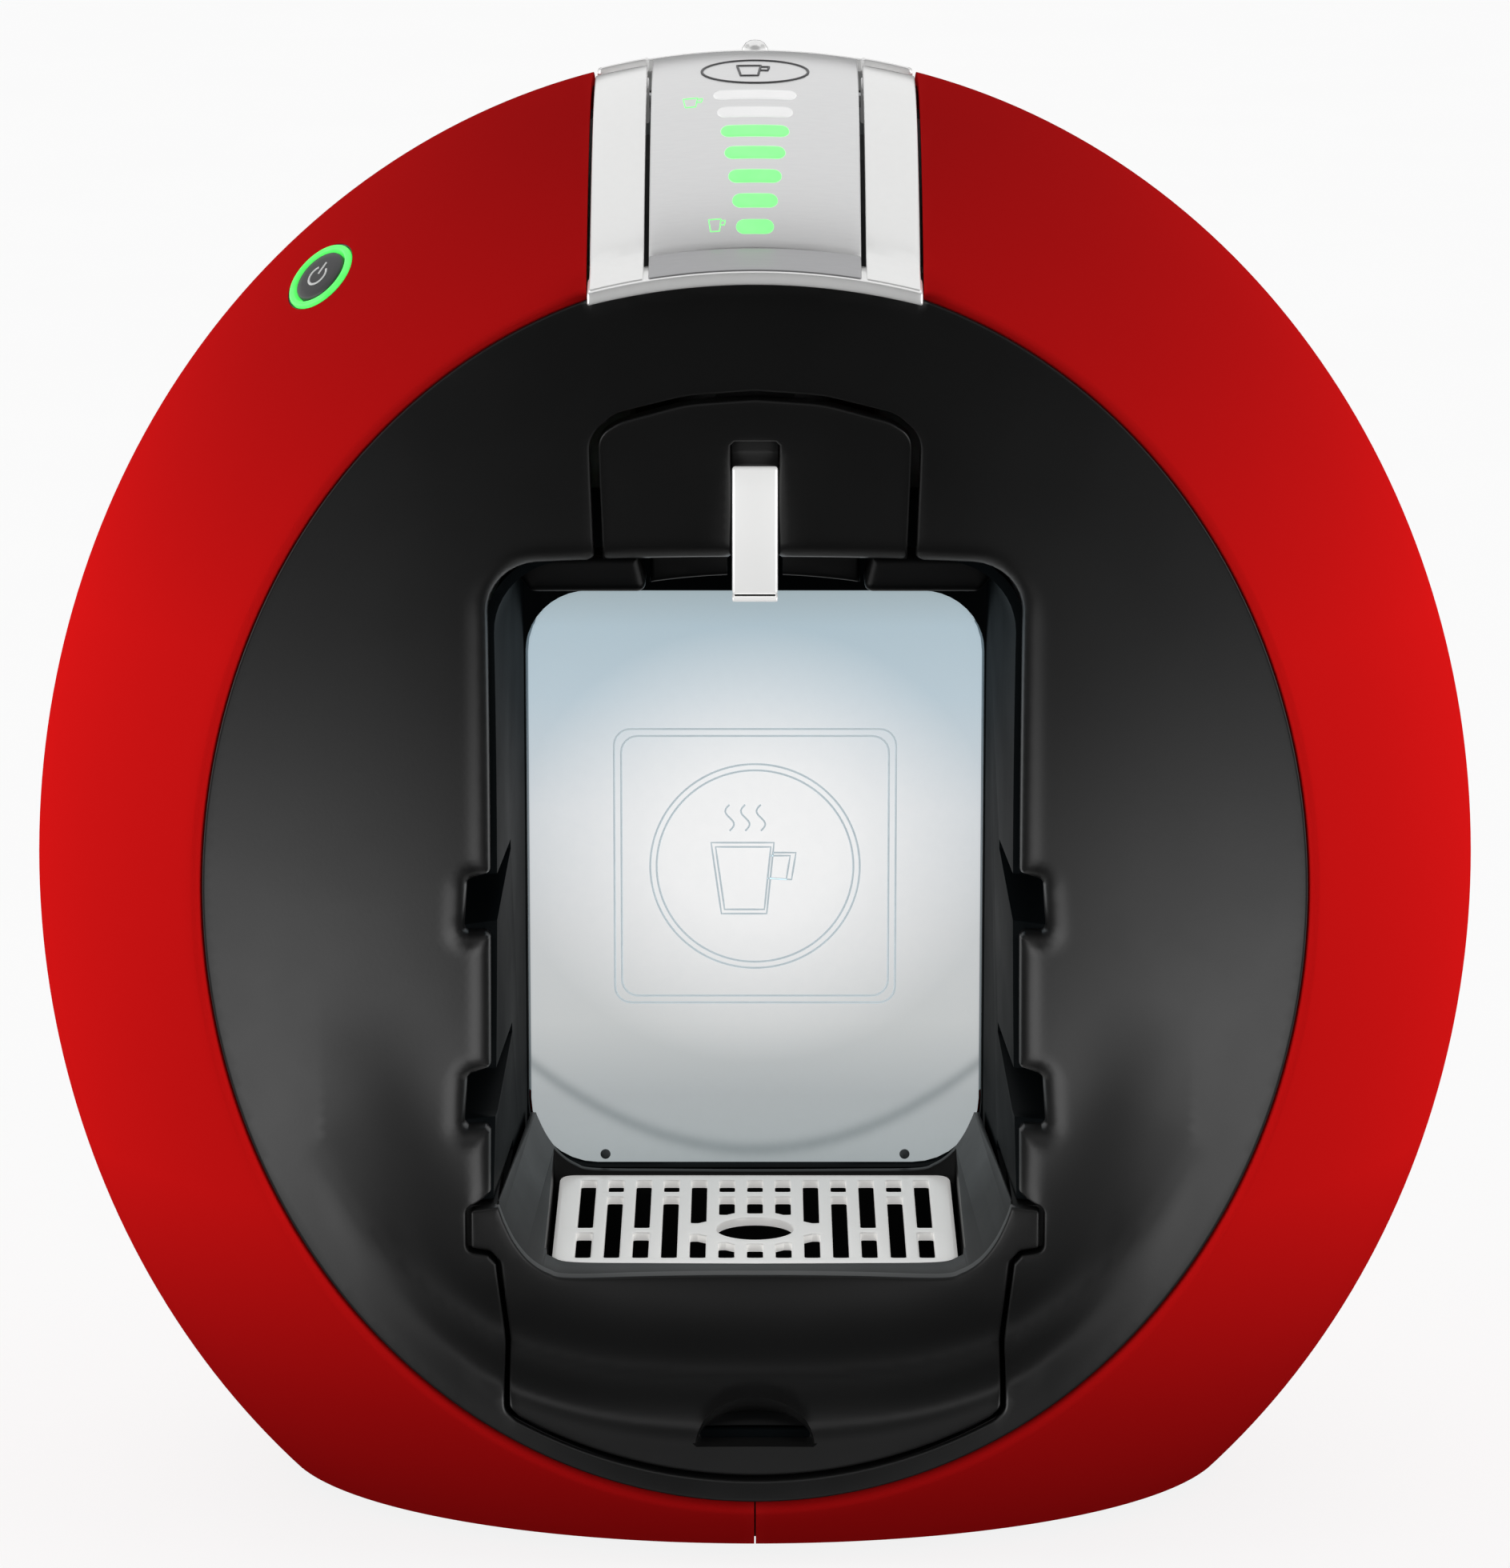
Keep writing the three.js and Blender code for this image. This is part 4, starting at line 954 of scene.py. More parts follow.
def build_face():
    # The fillet round the opening is wide beside the bay and narrow along the fine grooves.
    half = np.vstack([drawer_line(0), bay_side(), tray_opening(GROOVE)[1:]])
    half[0, 0] = half[-1, 0] = 0
    opening = dense(mirrored(half), 1.0)
    bay_edge = dense(np.array([p for p in half if 67 < p[1] < 190.6 and p[0] > 31.9]), 1.0, closed=False)
    bay_edges = [bay_edge, bay_edge * [-1, 1]]

    def front(x, z):
        y = face(x, z)
        points = np.stack([x, z], 1)
        d = np.min([distance_to(points, edge, closed=False) for edge in bay_edges], 0)
        radius = 4.2
        d = np.clip(d, 0, radius)
        return y + 0.9 * (radius - np.sqrt(np.maximum(radius ** 2 - (radius - d) ** 2, 0)))

    plate = relief("face", "XZ", face_outline(), [opening], front, lambda x, z: face(x, z) + 5.2,
                   rounding=0.55, spacing=1.5)
    soften(plate, 50)
    mark_fold_shade(plate)
    piece(plate, "face_plate", "black_satin", stands_for=["front_fascia"])

    # A dark ledge behind the gap between the face and the rim.
    outer, inner = rim_outline(-0.4), rim_outline(5.0)
    ledge = relief("ledge", "XZ", outer, [inner], lambda x, z: rim_plane(z) + 3.4,
                   lambda x, z: rim_plane(z) + 5.0, rounding=0.0, spacing=2.5, step=2.0)
    combine(ledge, [block(-32, 32, -120, 0, 236, 320)])
    soften(ledge, 40)
    piece(ledge, "rim_ledge", "black_satin")


build_face()

# ---- bay -----------------------------------------------------------------------------------------


def bay_half(y):
    return BAY_FRONT_HALF + (BAY_BACK_HALF - BAY_FRONT_HALF) * (y - BAY_FRONT_Y) / (BAY_BACK_Y - BAY_FRONT_Y)


def rounded_box(x0, x1, z0, z1, lower, upper, step=8):
    return rounded([(x0, z0, lower), (x1, z0, lower), (x1, z1, upper), (x0, z1, upper)], step)


def bay_loft(grow, y0, y1):
    sections = []
    for y in (y0, y1):
        half = bay_half(y) + grow
        outline = rounded_box(-half, half, BAY_FLOOR - grow, BAY_TOP + grow, 6, 14 + grow, 12)
        sections.append([(x, y, z) for x, z in outline])
    return loft("bay", sections)


def rail(side, level, grow, front_y=-90):
    low, high = level
    profile = [(front_y, low - grow), (-40, low - grow), (RAIL_END_Y + grow, high - 2 - grow),
               (RAIL_END_Y + grow, high + grow), (front_y, high + grow)]
    ends = (-RAIL_OUT - grow, -40) if side < 0 else (40, RAIL_OUT + grow)
    return prism("YZ", profile, *ends)


def before_face(behind, columns=70):
    """Everything in front of a surface that lies behind the black face by a distance."""
    xs = np.linspace(-160, 160, columns)
    zs = np.linspace(-20, 300, columns)
    grid_x, grid_z = np.meshgrid(xs, zs)
    ys = face(grid_x.ravel(), grid_z.ravel()) + behind
    n = columns * columns
    near = np.stack([grid_x.ravel(), np.full(n, -900.0), grid_z.ravel()], 1)
    far = np.stack([grid_x.ravel(), ys.ravel(), grid_z.ravel()], 1)
    quads = [(i, i + 1, i + 1 + columns, i + columns) for r in range(columns - 1)
             for i in range(r * columns, r * columns + columns - 1)]
    faces = quads + [tuple(k + n for k in q[::-1]) for q in quads]
    edge = ([*range(columns)] + [columns * (r + 1) - 1 for r in range(1, columns)]
            + [n - 1 - k for k in range(1, columns)]
            + [columns * (columns - 1 - r) for r in range(1, columns - 1)])
    for a, b in zip(edge, edge[1:] + edge[:1]):
        faces.append((a, b, b + n, a + n))
    return recalculate(mesh_object("before", np.vstack([near, far]), faces))


def build_bay():
    walls = bay_loft(2.0, -80, BAY_BACK_Y)
    combine(walls, [rail(side, level, 2.0) for side in (-1, 1) for level in RAIL_LEVELS], "UNION")
    opening = rounded_box(-46.8, 46.8, 50.0, 171.7, 13.9, 12.9, 10)
    cutters = [bay_loft(0.0, -100, PANEL_Y - 1.6), prism("XZ", opening, 20, 40), before_face(5.4),
               block(-33.5, 33.5, -90, 18, 186, 200)]
    cutters += [rail(side, level, 0.0) for side in (-1, 1) for level in RAIL_LEVELS]
    combine(walls, cutters)
    bevelled(walls, 0.35, 50)
    soften(walls, 32)
    piece(walls, "bay_walls", "dark_liner", stands_for=["bay_liner"])

    # Two rounded ledges hang from the roof beside the drawer, with a shallow arch between them.
    for side in (-1, 1):
        outline = rounded([(side * 20.8, 183.2, 1.6), (side * 43.5, 183.2, 2.0), (side * 47.0, 187.6, 2.0),
                           (side * 44, 190.4, 0.5), (side * 22.5, 190.4, 0.5)], 6)
        outline = outline if area(outline) > 0 else outline[::-1]
        ledge = relief("ledge", "XZ", outline, [], lambda x, z: x * 0 - 35.5,
                       lambda x, z: x * 0 - 26.0, rounding=1.7, spacing=1.2, step=0.6)
        soften(ledge, 60)
        piece(ledge, "roof_ledge_left" if side < 0 else "roof_ledge_right", "dark_liner",
              material=painted_shade_black)
    xs = np.linspace(-20.4, 20.4, 30)
    lower = np.stack([xs, 185.6 - 1.5 * (xs / 20.4) ** 2], 1)
    outline = np.vstack([lower, [[20.4, 190.2], [-20.4, 190.2]]])
    arch = relief("arch", "XZ", outline, [], lambda x, z: x * 0 - 30.0, lambda x, z: x * 0 - 22.0,
                  rounding=0.9, spacing=1.4)
    combine(arch, [block(-5.4, 5.4, -60, 0, 180, 195)])
    soften(arch, 50)
    piece(arch, "roof_arch", "dark_liner", material=painted_shade_black)


def tube(name, path, radius, closed=False, sides=8, normal=None, squash=1.0):
    """A thin bead along a path of 3-D points; it can be flattened along a normal."""
    path = [Vector(p) for p in path]
    count = len(path)
    points, faces = [], []
    for i, p in enumerate(path):
        ahead = path[(i + 1) % count] if closed or i < count - 1 else p
        behind = path[i - 1] if closed or i > 0 else p
        along = (ahead - behind).normalized()
        up = Vector(normal).normalized() if normal is not None else Vector((0, 0, 1))
        side = along.cross(up).normalized()
        up = side.cross(along).normalized()
        for k in range(sides):
            a = 2 * math.pi * k / sides
            points.append(tuple(p + side * radius * math.cos(a) + up * radius * squash * math.sin(a)))
    rows = count if closed else count - 1
    for i in range(rows):
        for k in range(sides):
            a, b = i * sides, ((i + 1) % count) * sides
            faces.append((a + k, a + (k + 1) % sides, b + (k + 1) % sides, b + k))
    if not closed:
        faces.append(tuple(range(sides)))
        faces.append(tuple(range((count - 1) * sides, count * sides)))
    return soften(recalculate(mesh_object(name, points, faces)), 60)


def merged(name, objects):
    """Joins meshes into one object without changing them."""
    bm = bmesh.new()
    for obj in objects:
        bm.from_mesh(obj.data)
        bpy.data.objects.remove(obj)
    mesh = bpy.data.meshes.new(name)
    bm.to_mesh(mesh)
    bm.free()
    obj = bpy.data.objects.new(name, mesh)
    bpy.context.scene.collection.objects.link(obj)
    return obj


# A cup with a handle, drawn as outlines about its middle, one unit high.
CUP_BODY = [(-0.5, 0.5), (0.36, 0.5), (0.26, -0.5), (-0.36, -0.5)]
CUP_HANDLE = [(0.35, 0.36), (0.66, 0.36), (0.60, -0.02), (0.31, 0.0)]


def cup_lines(middle, size, place, radius, normal, sides=6):
    """The outline of a small cup, laid on a surface by place(u, v)."""
    lines = []
    for shape, closed in ((CUP_BODY, True), (CUP_HANDLE, False)):
        points = np.array(shape) * size + middle
        points = dense(points, size / 6, closed)
        lines.append(tube("line", [place(u, v) for u, v in points], radius, closed, sides, normal, 0.6))
    return lines


PANEL_VISIBLE_TOP = 171.2


def build_panel():
    outline = rounded_box(-46.3, 46.3, 50.6, PANEL_VISIBLE_TOP, 13.7, 12.5)
    plate = relief("plate", "XZ", outline, [], lambda x, z: x * 0 + PANEL_Y,
                   lambda x, z: x * 0 + PANEL_Y + 2.5, rounding=0.5, spacing=4)
    soften(plate, 40)
    piece(plate, "glow_panel", "frosted_panel", stands_for=["light_panel"])

    on_panel = lambda u, v: (u, PANEL_Y, v)
    middle = 113.7
    lines = []
    for half in (28.85, 27.4):
        square = dense(rounded_box(-half, half, middle - half, middle + half, 3.4, 3.4, 6), 2.0)
        lines.append(tube("line", [on_panel(*p) for p in square], 0.22, True, 6, (0, 1, 0), 0.8))
    for radius in (21.5, 20.2):
        circle = [on_panel(radius * math.cos(a), middle + radius * math.sin(a))
                  for a in np.linspace(0, 2 * math.pi, 120, endpoint=False)]
        lines.append(tube("line", circle, 0.22, True, 6, (0, 1, 0), 0.8))
    for size, offset in ((15.0, 0.0), (13.2, 0.0)):
        lines += cup_lines((-1.5, middle - 2.5 + offset), size, on_panel, 0.2, (0, 1, 0))
    for k in (-3.2, 0, 3.2):
        steam = [on_panel(-2.0 + k + 0.9 * math.sin(t * 2 * math.pi), middle + 7.5 + 5.5 * t) for t in
                 np.linspace(0, 1, 14)]
        lines.append(tube("line", steam, 0.2, False, 6, (0, 1, 0), 0.8))
    emboss = merged("emboss", lines)
    piece(emboss, "panel_emboss", "frosted_panel", material=emboss_painted_glow)
    # Painted shadow: two grey domes stand for the shadows of the tank's feet seen through the panel.
    marks = []
    for side in (-1, 1):
        marks.append(lathe("peg", [(0, -0.2), (1.1, -0.2), (1.0, 0.25), (0.6, 0.4), (0, 0.45)],
                           (side * 31, PANEL_Y, 52.4), (0, -1, 0), 24))
    piece(soften(merged("marks", marks), 40), "panel_foot_shadows", "frosted_panel", material=foot_shadow_grey)


# ---- capsule drawer --------------------------------------------------------------------------------

PULL_HALF = 4.35
SLOT_HALF = 4.7
SLOT_TOP = 214.5


def build_drawer():
    side = drawer_line(1.7)
    side = side[side[:, 1] > 190.65]
    side[0, 0] = 0
    foot = [(31.0 - 1.7, 190.6)]
    half = np.vstack([side, foot, [(SLOT_HALF + 0.5, 190.6), (SLOT_HALF, 191.1), (SLOT_HALF, SLOT_TOP - 0.7),
                                   (SLOT_HALF - 0.7, SLOT_TOP), (0, SLOT_TOP)]])
    outline = mirrored(half)

    def front(x, z):
        radius = 4.2
        d = np.clip(z - 190.3, 0, radius)
        crease = 0.5 * np.exp(-(np.asarray(x) / 3.2) ** 2) * np.clip((z - 214) / 10, 0, 1)
        return (face(x, z) + 0.9 * (radius - np.sqrt(np.maximum(radius ** 2 - (radius - d) ** 2, 0)))
                - crease * 0.4)

    plate = relief("plate", "XZ", outline, [], front, lambda x, z: face(x, z) + 5.2, rounding=0.55,
                   spacing=1.3)
    soften(plate, 50)
    piece(plate, "drawer_front", "black_satin", "drawer", stands_for=["capsule_drawer"])

    holder = prism("XY", rounded([(-29, -37.5, 1), (29, -37.5, 1), (29, 15, 6), (-29, 15, 6)], 6), 192.0,
                   205.5)
    seat = lathe("seat", [(0, -20), (20, -20), (20, 8), (24.8, 8), (24.8, 30), (0, 30)], (0, BREW_Y, 192.0))
    combine(holder, [seat])
    bevelled(holder, 0.6)
    piece(soften(holder, 40), "drawer_holder", "black_satin", "drawer", material=painted_shade_black)
    back = prism("YZ", [(-38.6, 190.8), (-37.0, 190.8), (-37.0, 214.9), (-42.6, 214.9), (-42.6, 212.0),
                        (-39.2, 209.0)], -SLOT_HALF + 0.1, SLOT_HALF - 0.1)
    piece(soften(bevelled(back, 0.3), 40), "drawer_recess", "black_satin", "drawer")

    grip = [(-50.6, 185.7), (-46.2, 185.7), (-44.9, 191.6), (-41.0, 191.6), (-41.0, 206.0), (-44.4, 209.6),
            (-48.4, 210.0), (-49.2, 204.0)]
    pull = prism("YZ", grip, -PULL_HALF, PULL_HALF)
    toe = prism("YZ", [(-50.7, 184.3), (-46.4, 184.3), (-46.3, 185.3), (-50.7, 185.3)], -PULL_HALF, PULL_HALF)
    pull, toe = bevelled(pull, 0.55, 30, 3), bevelled(toe, 0.3, 30, 3)
    neck = block(-3.9, 3.9, -50.0, -46.6, 185.0, 186.0)
    pull = soften(merged("pull", [pull, toe]), 30)
    piece(pull, "pull_cover", "chrome_trim", "drawer", stands_for=["drawer_pull"], material=pull_chrome_painted_glow)
    piece(soften(bevelled(neck, 0.1), 30), "pull_neck", "black_satin", "drawer")


# ---- drip tray and grid ----------------------------------------------------------------------------

BASIN_HALF = 41.5
TRAY_TOP = 50.0
GRID_HALF = 40.2
GRID_FRONT = -43.0
GRID_BACK = 21.0
TRAY_EDGE = np.array([(0, 50.9), (20, 51.0), (36, 51.2), (40.4, 52.3), (43.9, 54.6), (46.7, 58.0),
                      (48.7, 61.8), (50.0, 65.2)])
SCOOP_Z = 20.4
SCOOP_OUT = (11.6, 8.2)
SCOOP_IN = (10.9, 4.2)


def build_tray():
    side = tray_opening(-GROOVE)
    edge = smooth_line(TRAY_EDGE)
    half = np.vstack([edge, side[side[:, 0] < 99]])
    half[0, 0] = half[-1, 0] = 0
    outline = mirrored(half)

    turns = np.linspace(math.radians(3), math.pi - math.radians(3), 40)
    arch = lambda radii, scale: np.stack([radii[0] * scale * np.cos(turns),
                                          SCOOP_Z + radii[1] * scale * np.sin(turns)], 1)
    lines = [arch(SCOOP_OUT, 1.0), arch(SCOOP_OUT, 1.05), arch(SCOOP_IN, 1.0), arch(SCOOP_IN, 0.94)]
    bottom = np.stack([np.linspace(-11.4, 11.4, 30), np.full(30, SCOOP_Z)], 1)
    lines += [bottom, bottom - [0, 0.25]]

    def scoop(x, z):
        ground = z >= SCOOP_Z - 0.01
        q = np.hypot(x / SCOOP_OUT[0], (z - SCOOP_Z) / SCOOP_OUT[1])
        inner = np.hypot(x / SCOOP_IN[0], (z - SCOOP_Z) / SCOOP_IN[1])
        slope = np.clip((1 - q) / np.maximum((1 - q) + np.maximum(inner - 1, 0), 1e-3), 0, 1)
        deep = np.where(inner < 0.965, 13.0, 5.5 * slope)
        return np.where(ground & (q < 1), deep, 0.0)

    def front(x, z):
        hood = (np.hypot(x / SCOOP_OUT[0], (z - SCOOP_Z) / SCOOP_OUT[1]) < 1.01) & (z >= SCOOP_Z - 0.01)
        return np.where(hood, np.minimum(bowl(x, z) - 1.0, face(x, z)), face(x, z)) + scoop(x, z)

    plate = relief("plate", "XZ", outline, [], front, lambda x, z: front(x, z) + 3.2, rounding=0.6,
                   spacing=1.3, lines=lines)
    soften(plate, 48)
    mark_fold_shade(plate)
    piece(plate, "tray_front", "black_satin", "tray", stands_for=["drip_tray"])

    upper = [(-50.6, 66.2), (-50.6, 49.0), (-43.5, 45.0), (-43.5, 23.0), (43.5, 23.0), (43.5, 45.0),
             (50.6, 49.0), (50.6, 66.2)]
    sections = []
    for y in (-66.0, 23.5):
        sections.append([(x * (bay_half(y) - 1.0) / 50.6, y, z if z < 60 else (66.2 if y < 0 else 62.6))
                         for x, z in upper])
    body = loft("body", sections)
    right = [(x, z - 0.5) for x, z in edge] + [(50.05, 90.0)]
    left = [(-x, z) for x, z in right[::-1]]
    valley = np.array(left[:-1] + right)
    sections = []
    for y in (-90.0, 40.0):
        scale = (bay_half(y) - 1.0) / (bay_half(-55.0) - 1.0)
        sections.append([(x * scale, y, z) for x, z in valley])
    combine(body, [loft("valley", sections), block(-BASIN_HALF, BASIN_HALF, -41, 21.5, 27, 80),
                   block(-GRID_HALF - 0.9, GRID_HALF + 0.9, GRID_FRONT - 1.2, 21.6, 48.0, 80),
                   before_face(2.6)])
    bevelled(body, 0.4, 50)
    soften(body, 35)
    piece(body, "tray_body", "black_satin", "tray", material=painted_shade_black)
    tabs = []
    for side in (-1, 1):
        tab = rail(side, (56.9, 64.9), 0.0, -80)
        combine(tab, [block(-50.3, 50.3, -90, 30, 40, 80), before_face(3.4)])
        tabs.append(tab)
    piece(soften(merged("tabs", tabs), 35), "tray_tabs", "black_satin", "tray")


SLOT_COLUMNS = 13
SLOT_FIELD = 71.5
SLOT_WIDTH = 3.2
SLOT_FRONT = -38.7
SLOT_BACK = 16.9
HOLE_RADIUS = 7.8
HOLE_Y = -18.3


def slot_runs(column):
    """The lengths of one column of slots, with the ends that are cut at a corner beside the round hole."""
    offset = column - (SLOT_COLUMNS - 1) // 2
    break_y = -19.5 if column % 2 == 0 else 6.5
    if offset == 0:
        return [(SLOT_FRONT, -29.0, ""), (-7.5, 4.8, ""), (8.2, SLOT_BACK, "")]
    if abs(offset) == 1:
        return [(SLOT_FRONT, -28.0, "top"), (-8.5, 4.8, "bottom"), (8.2, SLOT_BACK, "")]
    if abs(offset) == 2:
        return [(SLOT_FRONT, -22.0, "top"), (-14.5, SLOT_BACK, "bottom")]
    return [(SLOT_FRONT, break_y - 1.7, ""), (break_y + 1.7, SLOT_BACK, "")]


def slot_outline(x0, x1, y0, y1, cut_end, inner):
    corners = []
    for x, y, end in ((x0, y0, "bottom"), (x1, y0, "bottom"), (x1, y1, "top"), (x0, y1, "top")):
        if end == cut_end and (x == x0) == (inner < 0):
            step_x = 1.7 if x == x0 else -1.7
            step_y = 1.4 if end == "bottom" else -1.4
            pair = [(x, y + step_y, 0.2), (x + step_x, y, 0.2)]
            corners += pair if (end == "bottom") == (x == x0) else pair[::-1]
        else:
            corners.append((x, y, 0.65))
    return rounded(corners, 4)


def build_grid():
    holes = []
    pitch = (SLOT_FIELD - SLOT_WIDTH) / (SLOT_COLUMNS - 1)
    for column in range(SLOT_COLUMNS):
        x = -SLOT_FIELD / 2 + column * pitch
        inner = -1 if column > SLOT_COLUMNS // 2 else 1
        for y0, y1, cut_end in slot_runs(column):
            holes.append(slot_outline(x, x + SLOT_WIDTH, y0, y1,
                                      cut_end if column != SLOT_COLUMNS // 2 else "", inner))
    turns = np.linspace(0, 2 * math.pi, 48, endpoint=False)
    holes.append(np.stack([HOLE_RADIUS * np.cos(turns), HOLE_Y + HOLE_RADIUS * np.sin(turns)], 1))
    outline = rounded([(-GRID_HALF, GRID_FRONT, 5.5), (GRID_HALF, GRID_FRONT, 5.5), (GRID_HALF, GRID_BACK, 3),
                       (-GRID_HALF, GRID_BACK, 3)], 8)
    plate = relief("plate", "XY", outline, holes, lambda x, y: x * 0 + TRAY_TOP,
                   lambda x, y: x * 0 + TRAY_TOP - 1.7, rounding=0.8, hole_rounding=0.35, spacing=2.2,
                   step=1.2)
    soften(plate, 50)
    piece(plate, "grid_plate", "steel_grid", "grid", stands_for=["drip_grid"])


# ---- top: panel, bars, handle ------------------------------------------------------------------------


APRON_Y = -57.2


def on_crest(u, v, lift=0.0):
    return (u, v, float(crest(np.array(u), np.array(v))) + lift)


def build_top():
    def apron(x, y):
        """The slope that runs from the curved top down to the front edge of the handle's lip."""
        return lip_arc(x, LIP_TOP + 0.25) + (np.asarray(y) + 65.1) * 0.42

    def sheet(low_x, high_x, front_y, back_y, top, thick):
        outline = rounded([(low_x, front_y, 0.3), (high_x, front_y, 0.3), (high_x, back_y, 0.4),
                           (low_x, back_y, 0.4)], 3)
        under = lambda x, y: np.minimum(np.maximum(top(x, y) - thick, lip_arc(x, 248.2)), top(x, y) - 0.5)
        fold = ([np.array([(low_x + 0.8, APRON_Y), (high_x - 0.8, APRON_Y)])]
                if front_y < APRON_Y - 1 < back_y - 9 else [])
        return soften(relief("sheet", "XY", outline, [], top, under, rounding=0.3, spacing=1.6,
                             lines=fold), 22)

    cover = sheet(-PANEL_HALF, PANEL_HALF, APRON_Y - 0.4, 13, crest, 3.2)
    piece(cover, "display_cover", "brushed_panel", stands_for=["display_panel"])
    edge = sheet(-PANEL_HALF, PANEL_HALF, -64.7, APRON_Y + 0.1, apron, 1.5)
    piece(edge, "display_chamfer", "brushed_panel", material=chamfer_painted_shade)

    for index, (y, z) in enumerate(BAR_CENTRES):
        slope = math.atan(HALF_HEIGHT ** 2 * -y / (FRONT_DEPTH ** 2 * (z - MID_HEIGHT)))
        half = (BAR_SHORTEST + BAR_GROWTH * index) / 2
        deep = BAR_THICK / 2 * math.cos(slope)
        turns = np.linspace(-math.pi / 2, math.pi / 2, 12)
        right = np.stack([half - BAR_THICK / 2 + BAR_THICK / 2 * np.cos(turns), y + deep * np.sin(turns)], 1)
        bar = relief("bar", "XY", np.vstack([right, (right * [-1, 1])[::-1]]), [],
                     lambda x, y: crest(x, y) + 0.25, lambda x, y: crest(x, y) - 0.8, rounding=0.22,
                     spacing=0.7, step=0.5)
        soften(bar, 60)
        stands = ["light_guide"] if index == 0 else []
        tone = green if index < 5 else white_light
        piece(bar, f"volume_bar_{index + 1}", "green_guide", stands_for=stands, material=tone)

    icons = []
    for middle, size in (((-12.2, -26.5), 3.2), ((-7.4, -53.9), 2.7)):
        slope = math.atan(HALF_HEIGHT ** 2 * -middle[1] / (FRONT_DEPTH ** 2 * 145))
        place = lambda u, v: on_crest(u, middle[1] + (v - middle[1]) * math.cos(slope), 0.05)
        icons += cup_lines(middle, size, place, 0.085, (0, -math.sin(slope), math.cos(slope)))
    piece(merged("icons", icons), "cup_icons", "green_guide", material=green)

    oval = [on_crest(10.3 * math.cos(a), -14.0 + 6.2 * math.sin(a), 0.08)
            for a in np.linspace(0, 2 * math.pi, 72, endpoint=False)]
    badge = [tube("line", oval, 0.26, True, 8, (0, -0.2, 1), 0.6)]
    badge += cup_lines((-0.8, -14.2), 5.4, lambda u, v: on_crest(u, v, 0.08), 0.24, (0, -0.2, 1))
    piece(merged("badge", badge), "crest_badge", "brushed_panel", material=badge_ink)

    arms = []
    for side in (-1, 1):
        inner, outer = sorted((side * 20.95, side * (ARM_OUT - 0.05)))
        arm = sheet(inner, outer, -64.6, -3.2, lambda x, y: np.maximum(apron(x, y), crest(x, y)), 5.0)
        arms.append(soften(arm, 26))
    xs = np.linspace(-LIP_HALF, LIP_HALF, 41)
    profile = [(-65.4, LIP_TOP - LIP_THICK), (-56.5, LIP_TOP - LIP_THICK), (-56.5, 251.6), (-60.2, 251.6),
               (-65.1, LIP_TOP)]
    lip = loft("lip", [[(x, y, float(lip_arc(x, z))) for y, z in profile] for x in xs])
    bevelled(lip, 0.45, 30, 3)
    soften(lip, 30)
    knuckles = [rod(4.5, (side * 20.7, PIVOT_Y, PIVOT_Z), (side * ARM_OUT, PIVOT_Y, PIVOT_Z), 48)
                for side in (-1, 1)]
    knuckles = [soften(bevelled(k, 0.4), 30) for k in knuckles]
    handle = merged("handle", arms + [lip] + knuckles)
    piece(handle, "handle_bow", "chrome_trim", "handle", stands_for=["locking_handle"])

    outline = np.array([(31, 7), (31, 32.3), (-31, 32.3), (-31, 7), (-20.9, 7), (-20.9, 13.9),
                        (20.9, 13.9), (20.9, 7)])
    slot = rounded([(-7, 20.4, 2), (7, 20.4, 2), (7, 27.6, 2), (-7, 27.6, 2)], 6)
    trim = relief("trim", "XY", outline, [slot], lambda x, y: crest(x, y, -0.5),
                  lambda x, y: crest(x, y, 2.0), rounding=0.5, spacing=1.8)
    soften(trim, 30)
    piece(trim, "rear_trim", "chrome_trim", stands_for=["rear_top_trim"])

    profile = [(0, 262), (1.4, 262), (1.4, 277.5), (1.9, 278.4), (2.55, 279.6), (2.75, 281.0), (2.55, 282.3),
               (1.95, 283.2), (1.1, 283.75), (0, 283.9)]
    knob = soften(lathe("knob", profile, (0, 24, 0), segments=40), 50)
    hub = soften(bevelled(rod(3.0, (0, 20.4, 266), (0, 27.6, 266), 40), 0.3), 30)
    piece(merged("knob", [knob, hub]), "selector_knob", "chrome_trim", "selector",
          stands_for=["selector_lever"])


# ---- power button ------------------------------------------------------------------------------------


